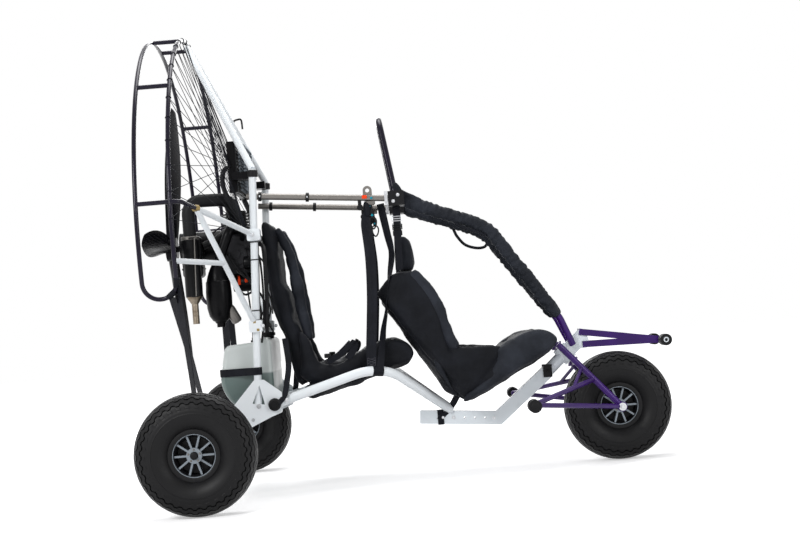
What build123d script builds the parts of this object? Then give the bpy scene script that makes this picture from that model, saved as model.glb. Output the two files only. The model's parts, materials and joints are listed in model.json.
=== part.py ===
"""Two-seat paramotor trike: tube frame, two slung seats, open engine in a propeller cage, three wheels."""
from build123d import *
import math
import os

os.makedirs("parts", exist_ok=True)

# Frame: +X forward, +Y left, +Z up, millimetres, origin on the floor midway between the axles.
# A station is a distance forward of the rear axle.

# Driving dimensions of the wheels
WHEELBASE = 1635.0
TRACK = 1698.0
TYRE_OD = 445.0
TYRE_WIDTH = 170.0
RIM_OD = 160.0
RIM_WIDTH = 112.0
RIM_LIP_WALL = 5.0
RIM_THROAT_WALL = 14.0
RIM_WEB = 10.0
FLANGE_OD = 177.0
FLANGE_WIDTH = 8.0
RIBS = 10
RIB_WIDTH = 7.0
RIB_INSET = 12.0
TYRE_BELLY_SHARE = 0.46
TYRE_SHOULDER_DROP = 16.0
TYRE_SHOULDER_SHARE = 0.37
HUB_OD = 56.0
HUB_LENGTH = 100.0
HUB_CAP = 9.0
AXLE_OD = 25.0
AXLE_BEAM_OD = 40.0
AXLE_REACH = 38.0
SHOULDER_GAP = 5.0

# Clearances
FIT = 0.3
RUNNING = 0.05

# Tube diameters
MAST_OD = 30.0
UPPER_TUBE_OD = 28.0
CAGE_OD = 17.0
BRACE_OD = 22.0
SIDE_TUBE_OD = 38.0
ARM_OD = 25.0
ROLL_BAR_OD = 26.0
FRONT_TUBE_OD = 28.0
FRONT_PAD_OD = 62.0

# Masts and the gusset plates at their feet
MAST_Y = 286.0
MAST_FOOT = (182.0, 340.0)
MAST_BEND = (232.0, 1291.0)
GUSSET_THICKNESS = 6.0
GUSSET_CORNER_R = 9.0
GUSSET_OUTLINE = (  # station, height
    (175.0, 456.0), (213.0, 455.0), (281.0, 400.0), (278.0, 322.0), (232.0, 306.0),
    (-22.0, 196.0), (-26.0, 238.0),
)
GUSSET_WINDOW = ((195.0, 434.0), (162.0, 364.0), (211.0, 357.0))
CLAMP_HEIGHTS = {"lower": 667.0, "upper": 1028.0}
CLAMP_SIZE = (52.0, 58.0, 46.0)
CLAMP_EDGE_R = 6.0

# Propeller cage
CAGE_R = 845.0
CAGE_Z = 1020.0
CAGE_REAR = -150.0
CAGE_FRONT = -25.0
CAGE_DIP = 11.6
RUNG_ANGLES = (8.0, 43.0, 82.0, 98.0, 137.0, 172.0)
CAGE_TOP_AHEAD = 4.0
CAGE_TOP_Y = 34.0
CAGE_ARM_ANGLE = 8.0
CAGE_ARM_AHEAD = 36.0
CAGE_ARM_R = 34.0
CAGE_SLEEVE = (50.0, 700.0, 1118.0)
CAGE_SLEEVE_RUN = (0.62, -0.78, -0.05)
CAGE_SLEEVE_OD = 25.0
CAGE_SLEEVE_LENGTH = 20.0
CAGE_STRUT_Z = 923.0
CAGE_STRUT_SHARE = 0.45
CAGE_STRUT_OD = 20.0
CAGE_STRAP_SIZE = (38.0, 2.8)
CAGE_STRAP_SHARES = (0.97, 0.72)  # places along the hoops' bow
CAGE_STRAP_CLEAR = (19.0, 247.0)  # distances inside the tyre, at the height of its top

# Lower frame
SIDE_TUBE_BEND_R = 200.0
SIDE_TUBE_START = (250.0, 355.0)
SIDE_TUBE_BEND = (680.0, 264.0, 474.0)
SIDE_TUBE_END = (945.0, 20.0, 262.0)
KEEL_SIZE = 54.0
KEEL_REAR = (817.0, 240.0)
KEEL_BEND = (1141.0, 211.0)
RISER_TUBE_LENGTH = 100.0
RISER_TUBE_OD = 50.0
KEEL_HOLE_OD = 8.4
KEEL_HOLE_STATIONS = (1000.0, 1042.0, 1084.0)

# Steering head and fork
HEAD_TO_AXLE = 304.0
STEER_RAKE = 41.2
HEAD_OD = 60.0
HEAD_LENGTH = 72.0
STEM_OD = 30.0
CROWN_OFFSET = 47.0
CROWN_THICKNESS = 8.0
CROWN_ARM_WIDTH = 24.0
CROWN_BOSS_OD = 52.0
CROWN_NUT = 6.0
LEG_Y = 130.0
LEG_OD = 26.0
AXLE_LUG_OD = 40.0
AXLE_LUG_WIDTH = 30.0
FRONT_AXLE_OD = 20.0
AXLE_HEAD_OD = 32.0
AXLE_HEAD_LENGTH = 9.0
PEG_STATION = 1246.0
PEG_Z = 280.0
PEG_INNER_Y = 545.0
PEG_LENGTH = 80.0
PEG_OD = 50.0
STRUT_OD = 20.0
STRUT_ON_LEG = 146.0
STRUT_KNEE_IN = 20.0
STRUT_KNEE_OD = 24.0
STRUT_BRACE_OD = 14.0
STRUT_BRACE_DROP = 30.0
STRUT_BRACE_SHARE = 0.35
BRACKET_THICKNESS = 6.0
BRACKET_OUTLINE = (  # ahead of the steering axis, up the axis
    (-8.0, -28.0), (60.0, -30.0), (80.0, -46.0), (100.0, -44.0), (126.0, 4.0), (120.0, 26.0), (-8.0, 28.0),
)

# Nose bar, for the passenger's feet
NOSE_STATION = 1830.0
NOSE_Z = 478.0
NOSE_BAR_OD = 25.0
NOSE_WIDTH = 350.0
NOSE_GRIP_OD = 47.0
NOSE_GRIP_LENGTH = 62.0
NOSE_FLAT = (26.0, 6.0)
NOSE_FLAT_Y = 62.0
NOSE_ROOTS = ((1511.0, 534.0), (1521.5, 483.5))

# Arms, roll bar and front tubes
ARM_Y = 258.0
ARM_REAR = (198.0, 1186.0)
ARM_FRONT = (775.0, 1131.0)
EYE_STATION = 680.0
EYE_OD = 16.0
EYE_RISE = 30.0
EYE_PLATE = (36.0, 8.0)
SHOULDER = (792.0, 230.0, 1130.0)
SHOULDER_SIZE = (64.0, 92.0, 58.0)
ROLL_BAR_TOP = (746.0, 1470.0)
ROLL_BAR_TOP_Y = 120.0
ROLL_BAR_R = 80.0
FRONT_TUBE_PATH = (  # station, distance from the middle, height
    (792.0, 215.0, 1131.0), (1150.0, 165.0, 992.0), (1421.0, 75.0, 599.0), (1467.0, 44.6, 486.0),
)
FRONT_TUBE_RADII = (190.0, 120.0)

# Seats: outlines and the hollows for the sitter, as (station, height)
SEAT_HALF_WIDTH = 210.0
SEAT_WALL = 45.0
SEAT_CORNER_R = 15.0
REAR_SEAT_OUTLINE = (
    (250.0, 1098.0), (300.0, 1098.0), (326.0, 1035.0), (383.0, 858.0), (403.0, 655.0), (468.0, 512.0),
    (610.0, 536.0), (739.0, 569.0), (790.0, 554.0), (814.0, 522.0), (808.0, 479.0), (629.0, 425.0),
    (366.0, 358.0), (330.0, 423.0), (294.0, 604.0), (252.0, 829.0),
)
REAR_SEAT_HOLLOW = (
    (288.0, 1140.0), (312.0, 850.0), (346.0, 660.0), (415.0, 470.0), (775.0, 560.0), (775.0, 1140.0),
)
REAR_SLING_OUTLINE = ((350.0, 386.0), (366.0, 358.0), (629.0, 425.0), (640.0, 448.0), (350.0, 404.0))
REAR_SLING_HALF_WIDTH = 270.0
FRONT_TAIL_OUTLINE = ((956.0, 318.0), (982.0, 292.0), (950.0, 246.0), (922.0, 246.0))
FRONT_TAIL_HALF_WIDTH = 14.0
FRONT_SEAT_OUTLINE = (
    (680.0, 753.0), (764.0, 843.0), (844.0, 843.0), (963.0, 669.0), (992.0, 538.0), (1180.0, 518.0),
    (1325.0, 574.0), (1384.0, 560.0), (1404.0, 530.0), (987.0, 283.0), (961.0, 309.0),
)
FRONT_SEAT_HOLLOW = (
    (800.0, 880.0), (985.0, 376.0), (1335.0, 578.0), (1335.0, 880.0),
)
HEADREST_OUTLINE = ((790.0, 843.3), (846.0, 843.3), (838.0, 975.0), (822.0, 992.0), (803.0, 985.0))
HEADREST_HALF_WIDTH = 120.0
STRAP_SIZE = (40.0, 3.0)
STRAP_STATION = 664.0

# Fuel tank behind the rear seat
TANK_HALF_WIDTH = 240.0
TANK_TOP = ((62.0, 597.0), (179.0, 606.0), (246.0, 634.0), (246.0, 380.0), (225.0, 345.0))
TANK_BOTTOM_REAR = (118.0, 338.0)
TANK_BELLY = (66.0, 380.0)
TANK_REAR = (36.0, 468.0)
TANK_CORNER_R = 26.0
TANK_EDGE_R = 18.0
TANK_STRAP_Z = 490.0
TANK_STRAP_HEIGHT = 32.0
TANK_STRAP_THICKNESS = 3.0
TANK_EAR_LENGTH = 18.0

# Engine
PROP_Z = 1014.0
PROP_STATION = -150.0
PROP_R = 730.0
PROP_HUB_OD = 96.0
PROP_HUB_LENGTH = 44.0
PROP_SHAFT_OD = 25.0
PROP_SHAFT_REACH = 60.0
BLADES = 3
BLADE_CREST = (-0.1, 0.62)  # place along the chord, height as a share of the thickness
BLADE_SECTIONS = (  # share of the radius, chord, thickness, pitch angle
    (0.05, 52.0, 30.0, 58.0), (0.22, 74.0, 20.0, 44.0), (0.55, 108.0, 12.0, 30.0),
    (0.85, 86.0, 8.0, 22.0), (1.00, 44.0, 5.0, 18.0),
)
GEARBOX_OD = 128.0
GEARBOX_REAR = -112.0
CRANKCASE_STATIONS = (58.0, 187.0)
CRANKCASE_Z = (884.0, 1052.0)
CRANKCASE_HALF_WIDTH = 72.0
CRANKCASE_EDGE_R = 14.0
COVER_STEPS = ((118.0, 9.0), (84.0, 17.0), (34.0, 23.0))  # diameter, reach from the crankcase's right side
INTAKE_STATIONS = (-92.0, -10.0)
INTAKE_Y = (-166.0, -58.0)
INTAKE_Z = (884.0, 1052.0)
INTAKE_EDGE_R = 16.0
INTAKE_RIB = 6.0
INTAKE_RIBS = 4
CYLINDER_STATION = 125.0
CYLINDER_TOP = 1150.0
CYLINDER_OD = 84.0
FIN_OD = 120.0
FIN_THICKNESS = 4.0
FIN_PITCH = 12.0
ENGINE_PLATE_THICKNESS = 8.0
ENGINE_PLATE_HALF_WIDTH = 90.0
ENGINE_PLATE_LAP = 16.0
CROSS_TUBE_OD = 30.0
CHAMBER_AXIS = (47.0, -158.0)
CHAMBER_Z = (692.0, 930.0)
CHAMBER_OD = 104.0
CHAMBER_NECK_OD = 40.0
CHAMBER_CAP_OD = 34.0
CHAMBER_CAP_LENGTH = 16.0
HEADER_Z = 1080.0
HEADER_R = 46.0
HEADER_LEAN = 10.0
HEADER_LAP = 10.0
SILENCER_AXIS = (-46.0, -205.0)
SILENCER_Z = (806.0, 1047.0)
SILENCER_OD = 68.0
TAILPIPE_OD = 27.0
TAILPIPE_Z = 696.0
SILENCER_CONE_SHARE = 0.45
ELBOW_OD = 52.0
ELBOW_PATH = (  # station, distance to the left, height
    (125.0, -66.0, 1130.0), (112.0, -150.0, 1190.0), (-46.0, -205.0, 1190.0), (-46.0, -205.0, 1047.3),
)
ELBOW_R = 55.0
RADIATOR_HEIGHT = 206.0
RADIATOR_DEPTH = 36.0
RADIATOR_HALF_WIDTH = 205.0
RADIATOR_TANK_WIDTH = 32.0
RADIATOR_TANK_EDGE_R = 8.0
RADIATOR_CORE_DEPTH = 14.0
RADIATOR_TUBE = (26.0, 4.0)  # depth, height
RADIATOR_TUBES = 14
RADIATOR_GAP = 42.0
RADIATOR_RISE = 62.0
RADIATOR_EAR = (14.0, 30.0)  # thickness, height
RADIATOR_EAR_SHARE = 0.285

SIDES = {"left": 1, "right": -1}
AXLE_Z = TYRE_OD / 2


def at(station, y, z):
    """Point in the model's frame from a station, a distance to the left and a height."""
    return Vector(station - WHEELBASE / 2, y, z)


FRONT_AXLE = at(WHEELBASE, 0, AXLE_Z)
STEER_AXIS = Vector(-math.sin(math.radians(STEER_RAKE)), 0, math.cos(math.radians(STEER_RAKE)))
STEER_FORWARD = Vector(STEER_AXIS.Z, 0, -STEER_AXIS.X)
HEAD = FRONT_AXLE + STEER_AXIS * HEAD_TO_AXLE
RISER_END = HEAD - STEER_FORWARD * RISER_TUBE_LENGTH
STEER = Plane(origin=HEAD, x_dir=STEER_FORWARD, z_dir=STEER_AXIS)


def tube(points, diameter, radius=None):
    """Round bar along straight runs, with its corners bent to a radius or a list of radii."""
    path = Line(*points) if len(points) == 2 else FilletPolyline(*points, radius=radius)
    return sweep(Plane(origin=path @ 0, z_dir=path % 0) * Circle(diameter / 2), path=path)


def slab(outline, low, high):
    """Flat piece from an outline of stations and heights, between two distances to the left."""
    face = make_face(Polyline(*[at(station, low, z) for station, z in outline], close=True))
    return extrude(face, amount=high - low, dir=(0, 1, 0))


def largest(part):
    """The biggest solid of a cut piece, without the stubs past the cut."""
    return Part() + part.solids().sort_by(SortBy.VOLUME)[-1]


def mirrored(part):
    """The same piece on the other side."""
    return mirror(part, about=Plane.XZ)


def save(name, part):
    export_step(part, f"parts/{name}.step")


def save_pair(name, left):
    """Writes a left piece and its mirror image as two nodes."""
    save(f"{name}_left", left)
    save(f"{name}_right", mirrored(left))


def mast_station(z):
    """Station of the mast's centre line at a height."""
    share = (z - MAST_FOOT[1]) / (MAST_BEND[1] - MAST_FOOT[1])
    return MAST_FOOT[0] + share * (MAST_BEND[0] - MAST_FOOT[0])


# Wheels

def tyre():
    """Balloon tyre about the Y axis, round shouldered, open at the rim."""
    bead = RIM_OD / 2 + FIT
    seat = RIM_WIDTH / 2 - FLANGE_WIDTH - FIT
    foot = (FLANGE_OD / 2 + 2 * FIT, seat)
    belly = (RIM_OD / 2 + TYRE_BELLY_SHARE * (TYRE_OD - RIM_OD) / 2, TYRE_WIDTH / 2)
    shoulder = (TYRE_OD / 2 - TYRE_SHOULDER_DROP, TYRE_WIDTH * TYRE_SHOULDER_SHARE)

    def other(p):
        return (p[0], -p[1])

    outline = Line((bead, -seat), (bead, seat))
    outline += Line((bead, seat), foot)
    outline += ThreePointArc(foot, belly, shoulder)
    outline += ThreePointArc(shoulder, (TYRE_OD / 2, 0), other(shoulder))
    outline += ThreePointArc(other(shoulder), other(belly), other(foot))
    outline += Line(other(foot), (bead, -seat))
    return revolve(make_face(outline), Axis.Y)


def rim(bore, through):
    """Cast wheel about the Y axis: barrel dished to a web, ribs on both faces, hub with its bearing bore."""
    half = RIM_WIDTH / 2
    flange_in = half - FLANGE_WIDTH
    lip = RIM_OD / 2 - RIM_LIP_WALL
    throat = RIM_OD / 2 - RIM_THROAT_WALL
    outline = [(0, RIM_WEB / 2), (throat, RIM_WEB / 2), (lip, half), (FLANGE_OD / 2, half),
               (FLANGE_OD / 2, flange_in), (RIM_OD / 2, flange_in)]
    outline += [(radius, -y) for radius, y in reversed(outline)]
    wheel = revolve(make_face(Polyline(*outline, close=True)), Axis.Y)
    along_y = Rotation(90, 0, 0)
    wheel += along_y * Cylinder(HUB_OD / 2, HUB_LENGTH)
    root = HUB_OD / 2 - RIM_LIP_WALL
    rib = Pos((root + lip) / 2, 0, 0) * Box(lip - root, RIM_WIDTH - 2 * RIB_INSET, RIB_WIDTH)
    wheel += [Rotation(0, i * 360 / RIBS, 0) * rib for i in range(RIBS)]
    cap = 0 if through else HUB_CAP
    return wheel - Pos(0, -cap / 2, 0) * along_y * Cylinder(bore / 2, HUB_LENGTH - cap)


def wheels():
    bore = AXLE_OD + 2 * RUNNING
    for side, sign in SIDES.items():
        place = Location(at(0, sign * TRACK / 2, AXLE_Z))
        turn = Rotation(0, 0, 0 if sign > 0 else 180)
        save(f"rear_tyre_{side}", place * turn * tyre())
        save(f"rear_rim_{side}", place * turn * rim(bore, through=False))
    front_bore = FRONT_AXLE_OD + 2 * RUNNING
    save("front_tyre", Location(FRONT_AXLE) * tyre())
    save("front_rim", Location(FRONT_AXLE) * rim(front_bore, through=True))


# Rear axle, masts and gussets

def rear_axle(grow=0.0):
    beam = TRACK / 2 - HUB_LENGTH / 2 - SHOULDER_GAP
    stub = TRACK / 2 + AXLE_REACH
    axle = tube([at(0, -beam, AXLE_Z), at(0, beam, AXLE_Z)], AXLE_BEAM_OD + 2 * grow)
    return axle + tube([at(0, -stub, AXLE_Z), at(0, stub, AXLE_Z)], AXLE_OD)


def mast(grow=0.0):
    foot = at(MAST_FOOT[0], MAST_Y, MAST_FOOT[1])
    bend = at(MAST_BEND[0], MAST_Y, MAST_BEND[1])
    return tube([foot, bend], MAST_OD + 2 * grow)


def cage_top():
    """Where the upper tube reaches the front hoop."""
    return at(CAGE_FRONT + CAGE_TOP_AHEAD, CAGE_TOP_Y, CAGE_Z + CAGE_R - CAGE_OD / 2 - UPPER_TUBE_OD / 2)


def upper_tube():
    bend = at(MAST_BEND[0], MAST_Y, MAST_BEND[1])
    return largest(tube([bend, cage_top()], UPPER_TUBE_OD) - mast(FIT) - hoop(CAGE_FRONT, FIT))


GUSSET_IN = MAST_Y + MAST_OD / 2 + FIT


def gusset():
    """A-shaped plate outside the mast's foot, with a three-cornered window, on the axle beam."""
    plate = slab(GUSSET_OUTLINE, GUSSET_IN, GUSSET_IN + GUSSET_THICKNESS)
    plate = fillet(plate.edges().filter_by(Axis.Y), GUSSET_CORNER_R)
    window = slab(GUSSET_WINDOW, GUSSET_IN - 1, GUSSET_IN + GUSSET_THICKNESS + 1)
    return plate - window - rear_axle(FIT)


def mast_clamps():
    """Split clamp blocks round the masts, where the cage braces and cross tubes meet them."""
    clamps = Part()
    for height in CLAMP_HEIGHTS.values():
        block = Location(at(mast_station(height), MAST_Y, height)) * Box(*CLAMP_SIZE)
        block = fillet(block.edges().filter_by(Axis.Y), CLAMP_EDGE_R) - mast(FIT)
        clamps += largest(block)
    return clamps + mirrored(clamps)


def cross_tube(height, grow=0.0):
    reach = MAST_Y - CLAMP_SIZE[1] / 2 - FIT
    station = mast_station(height)
    return tube([at(station, -reach, height), at(station, reach, height)], CROSS_TUBE_OD + 2 * grow)


def rear_frame():
    save("rear_axle", rear_axle())
    save_pair("mast", mast())
    save_pair("upper_tube", upper_tube())
    save_pair("gusset_plate", gusset())
    save("mast_clamps", mast_clamps())
    save("engine_cross_tubes", cross_tube(CLAMP_HEIGHTS["lower"]) + cross_tube(CLAMP_HEIGHTS["upper"]))


# Propeller cage

def on_cage(station, angle):
    """Point of a hoop, its angle counted from the left upwards."""
    turn = math.radians(angle)
    return at(station, CAGE_R * math.cos(turn), CAGE_Z + CAGE_R * math.sin(turn))


def hoop(station, grow=0.0):
    """One hoop of the cage, open below its two ends."""
    path = ThreePointArc(on_cage(station, -CAGE_DIP), on_cage(station, 90), on_cage(station, 180 + CAGE_DIP))
    return sweep(Plane(origin=path @ 0, z_dir=path % 0) * Circle(CAGE_OD / 2 + grow), path=path)


def bow_path():
    """Half circle that joins the two hoops at their left lower ends, from the rear one to the front one."""
    turn = math.radians(-CAGE_DIP)
    down = Vector(0, math.sin(turn), -math.cos(turn))
    rear = on_cage(CAGE_REAR, -CAGE_DIP)
    front = on_cage(CAGE_FRONT, -CAGE_DIP)
    lowest = (rear + front) * 0.5 + down * ((CAGE_FRONT - CAGE_REAR) / 2)
    return ThreePointArc(rear, lowest, front)


def hoop_bow(grow=0.0):
    path = bow_path()
    return sweep(Plane(origin=path @ 0, z_dir=path % 0) * Circle(CAGE_OD / 2 + grow), path=path)


def cage_strap(share, clear):
    """Webbing that stays the left lower end of the cage to the axle beam, inside the tyre."""
    width, thickness = CAGE_STRAP_SIZE
    top = bow_path() @ share
    inside = TRACK / 2 - TYRE_WIDTH / 2 - clear
    slope = (top.Y - inside) / (top.Z - TYRE_OD)
    foot = at(0, top.Y - slope * (top.Z - AXLE_Z), AXLE_Z)
    place = Plane(origin=foot, x_dir=(1, 0, 0), z_dir=top - foot)
    strap = extrude(place * Rectangle(width, thickness), amount=(top - foot).length)
    return largest(strap - hoop_bow(FIT) - hoop(CAGE_FRONT, FIT) - rear_axle(FIT))


def cage_sleeve(grow=0.0):
    station, y, z = CAGE_SLEEVE
    inward = Vector(*CAGE_SLEEVE_RUN).normalized()
    middle = at(station, y, z)
    half = inward * (CAGE_SLEEVE_LENGTH / 2 + grow)
    return tube([middle - half, middle + half], CAGE_SLEEVE_OD + 2 * grow)


def cage_arm():
    """Tube that carries the lowest rung forward and bends inward to the sleeve."""
    start = on_cage(CAGE_FRONT, CAGE_ARM_ANGLE)
    corner = start + Vector(CAGE_ARM_AHEAD, 0, 0)
    arm = tube([start, corner, at(*CAGE_SLEEVE)], CAGE_OD, radius=CAGE_ARM_R)
    return largest(arm - hoop(CAGE_FRONT, FIT) - cage_sleeve(FIT))


def clamp_box(height, grow):
    size = [edge + 2 * grow for edge in CLAMP_SIZE]
    return Location(at(mast_station(height), MAST_Y, height)) * Box(*size)


def cage_brace(level, grow=0.0):
    """Brace from the sleeve to a mast clamp."""
    height = CLAMP_HEIGHTS[level]
    end = at(mast_station(height), MAST_Y, height)
    return tube([at(*CAGE_SLEEVE), end], BRACE_OD + 2 * grow)


def cage_strut():
    """Level tube from the front hoop to the lower brace."""
    side = math.sqrt(CAGE_R ** 2 - (CAGE_STRUT_Z - CAGE_Z) ** 2)
    height = CLAMP_HEIGHTS["lower"]
    low = at(mast_station(height), MAST_Y, height)
    end = at(*CAGE_SLEEVE)
    meet = end + (low - end) * CAGE_STRUT_SHARE
    strut = tube([at(CAGE_FRONT, side, CAGE_STRUT_Z), meet], CAGE_STRUT_OD)
    return largest(strut - hoop(CAGE_FRONT, FIT) - cage_brace("lower", FIT))


def cage():
    bows = hoop_bow() + mirrored(hoop_bow())
    save("cage_rear_hoop", hoop(CAGE_REAR) + bows)
    front = largest(hoop(CAGE_FRONT) - bows)
    save("cage_front_hoop", front)
    rungs = Part()
    for angle in RUNG_ANGLES:
        rung = tube([on_cage(CAGE_REAR, angle), on_cage(CAGE_FRONT, angle)], CAGE_OD)
        rungs += largest(rung - hoop(CAGE_REAR, FIT) - hoop(CAGE_FRONT, FIT))
    save("cage_rungs", rungs)
    arm = cage_arm()
    save("cage_arms", arm + mirrored(arm))
    sleeve = cage_sleeve()
    save("cage_sleeves", sleeve + mirrored(sleeve))
    seats = {level: clamp_box(height, FIT) + mast(FIT) for level, height in CLAMP_HEIGHTS.items()}
    lower = largest(cage_brace("lower") - cage_sleeve(FIT) - seats["lower"])
    upper = largest(cage_brace("upper") - cage_sleeve(FIT) - seats["upper"] - cage_brace("lower", FIT))
    save("cage_braces_upper", upper + mirrored(upper))
    save("cage_braces_lower", lower + mirrored(lower))
    strut = cage_strut()
    save("cage_struts", strut + mirrored(strut))
    straps = Part() + [cage_strap(*row) for row in zip(CAGE_STRAP_SHARES, CAGE_STRAP_CLEAR)]
    save("cage_straps", straps + mirrored(straps))


# Side tubes, keel and steering head

def side_tube(grow=0.0):
    start = at(SIDE_TUBE_START[0], GUSSET_IN - FIT - SIDE_TUBE_OD / 2, SIDE_TUBE_START[1])
    points = [start, at(*SIDE_TUBE_BEND), at(*SIDE_TUBE_END)]
    return tube(points, SIDE_TUBE_OD + 2 * grow, radius=SIDE_TUBE_BEND_R)


def keel(grow=0.0):
    """Square keel bar with its mitred riser towards the steering head."""
    rear = at(KEEL_REAR[0], 0, KEEL_REAR[1])
    bend = at(KEEL_BEND[0], 0, KEEL_BEND[1])
    path = Polyline(rear, bend, RISER_END)
    section = Plane(origin=rear, x_dir=(0, 1, 0), z_dir=bend - rear) * Rectangle(*[KEEL_SIZE + 2 * grow] * 2)
    return sweep(section, path=path, transition=Transition.RIGHT)


def keel_with_holes():
    """The keel with the row of cross holes in its level part."""
    bar = keel()
    run = (KEEL_BEND[1] - KEEL_REAR[1]) / (KEEL_BEND[0] - KEEL_REAR[0])
    for station in KEEL_HOLE_STATIONS:
        z = KEEL_REAR[1] + run * (station - KEEL_REAR[0])
        bar -= tube([at(station, -KEEL_SIZE, z), at(station, KEEL_SIZE, z)], KEEL_HOLE_OD)
    return bar


def on_steer(forward, y, up):
    """Point in the steering head's frame: ahead of the axis, to the left, up the axis."""
    return STEER.from_local_coords(Vector(forward, y, up))


def bracket_plate():
    """Cheek plate on the left of the head that carries the front tube and the nose bar."""
    low = HEAD_OD / 2 - BRACKET_THICKNESS
    face = make_face(Polyline(*[on_steer(forward, low, up) for forward, up in BRACKET_OUTLINE], close=True))
    return extrude(face, amount=BRACKET_THICKNESS, dir=(0, 1, 0))


def head():
    """Bearing tube of the steering, on a round riser, with two cheek plates."""
    body = STEER * Cylinder(HEAD_OD / 2, HEAD_LENGTH)
    body += tube([RISER_END, HEAD], RISER_TUBE_OD)
    cheek = bracket_plate()
    body += cheek + mirrored(cheek)
    body -= STEER * Cylinder(STEM_OD / 2 + RUNNING, 3 * HEAD_LENGTH)
    return largest(body - keel(FIT))


def nose_flat(root):
    """Flat bar from a cheek plate to the cross bar."""
    start = at(root[0], HEAD_OD / 2 + FIT + NOSE_FLAT[1] / 2, root[1])
    end = at(NOSE_STATION, NOSE_FLAT_Y, NOSE_Z)
    run = end - start
    place = Plane(origin=start - run.normalized() * NOSE_FLAT[0] / 2, x_dir=(0, 0, 1), z_dir=run)
    return extrude(place * Rectangle(*NOSE_FLAT), amount=run.length + NOSE_FLAT[0] / 2)


def nose_bar():
    """Two flat bars a side, drawn together into a cross bar."""
    half = NOSE_WIDTH / 2 - FIT
    bar = tube([at(NOSE_STATION, -half, NOSE_Z), at(NOSE_STATION, half, NOSE_Z)], NOSE_BAR_OD)
    cheeks = bracket_plate() + mirrored(bracket_plate())
    for root in NOSE_ROOTS:
        flat = nose_flat(root)
        bar += flat + mirrored(flat)
    return largest(bar - cheeks)


def nose_grips():
    inner = NOSE_WIDTH / 2 - NOSE_GRIP_LENGTH
    left = tube([at(NOSE_STATION, inner, NOSE_Z), at(NOSE_STATION, NOSE_WIDTH / 2, NOSE_Z)], NOSE_GRIP_OD)
    bar_end = at(NOSE_STATION, NOSE_WIDTH / 2 - FIT, NOSE_Z)
    left -= tube([at(NOSE_STATION, 0, NOSE_Z), bar_end], NOSE_BAR_OD + 2 * FIT)
    return left + mirrored(left)


def lower_frame():
    side = largest(side_tube() - keel(FIT))
    save_pair("side_tube", side)
    save("keel", keel_with_holes())
    save("steering_head", head())
    save("nose_bar", nose_bar())
    save("nose_grips", nose_grips())


# Fork, front axle and foot pegs

def front_axle(grow=0.0):
    reach = LEG_Y + AXLE_LUG_WIDTH / 2 + FIT
    ends = [FRONT_AXLE + Vector(0, sign * reach, 0) for sign in SIDES.values()]
    axle = tube(ends, FRONT_AXLE_OD + 2 * grow)
    for sign in SIDES.values():
        inner = FRONT_AXLE + Vector(0, sign * (reach - grow), 0)
        outer = FRONT_AXLE + Vector(0, sign * (reach + AXLE_HEAD_LENGTH + grow), 0)
        axle += tube([inner, outer], AXLE_HEAD_OD + 2 * grow)
    return axle


def leg(grow=0.0):
    top = CROWN_OFFSET + CROWN_THICKNESS / 2 + CROWN_NUT
    foot = AXLE_LUG_OD / 4 - HEAD_TO_AXLE
    return tube([on_steer(0, LEG_Y, foot), on_steer(0, LEG_Y, top)], LEG_OD + 2 * grow)


def axle_lug(grow=0.0):
    """Eye at the foot of the left leg."""
    half = Vector(0, AXLE_LUG_WIDTH / 2 + grow, 0)
    middle = FRONT_AXLE + Vector(0, LEG_Y, 0)
    return tube([middle - half, middle + half], AXLE_LUG_OD + 2 * grow)


def fork():
    """Stem, two crowns and two legs with axle lugs."""
    stem = CROWN_OFFSET + CROWN_THICKNESS / 2 + CROWN_NUT
    body = tube([on_steer(0, 0, -stem), on_steer(0, 0, stem)], STEM_OD)
    for sign in SIDES.values():
        crown = Box(CROWN_ARM_WIDTH, 2 * LEG_Y, CROWN_THICKNESS)
        crown += Cylinder(CROWN_BOSS_OD / 2, CROWN_THICKNESS)
        body += STEER * Pos(0, 0, sign * CROWN_OFFSET) * crown
    one = leg() + axle_lug()
    body += one + mirrored(one)
    return body - front_axle(FIT)


def peg_strut():
    """V of two struts and a brace from the left leg to the left foot peg."""
    knee = at(PEG_STATION, PEG_INNER_Y - STRUT_KNEE_IN, PEG_Z)
    on_leg = on_steer(0, LEG_Y, -STRUT_ON_LEG)
    on_axle = FRONT_AXLE + Vector(0, LEG_Y, 0)
    frame = tube([on_leg, knee], STRUT_OD) + tube([on_axle, knee], STRUT_OD)
    frame += Location(knee) * Sphere(STRUT_KNEE_OD / 2)
    frame += tube([knee, at(PEG_STATION, PEG_INNER_Y - FIT, PEG_Z)], STRUT_OD)
    shoulder = on_steer(0, LEG_Y, -CROWN_OFFSET - STRUT_BRACE_DROP)
    frame += tube([shoulder, on_leg + (knee - on_leg) * STRUT_BRACE_SHARE], STRUT_BRACE_OD)
    return largest(frame - leg(FIT) - axle_lug(FIT) - front_axle(FIT))


def foot_peg():
    ends = [at(PEG_STATION, y, PEG_Z) for y in (PEG_INNER_Y, PEG_INNER_Y + PEG_LENGTH)]
    return tube(ends, PEG_OD)


def front_end():
    save("fork", fork())
    save("front_axle", front_axle())
    strut = peg_strut()
    save("peg_struts", strut + mirrored(strut))
    peg = foot_peg()
    save("foot_pegs", peg + mirrored(peg))


# Arms, roll bar and front tubes

def arm_z(station):
    share = (station - ARM_REAR[0]) / (ARM_FRONT[0] - ARM_REAR[0])
    return ARM_REAR[1] + share * (ARM_FRONT[1] - ARM_REAR[1])


def shoulder_block(grow=0.0):
    size = [edge + 2 * grow for edge in SHOULDER_SIZE]
    return Location(at(*SHOULDER)) * Box(*size)


def arm_bar(grow=0.0):
    ends = [at(station, ARM_Y, z) for station, z in (ARM_REAR, ARM_FRONT)]
    return tube(ends, ARM_OD + 2 * grow)


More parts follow.
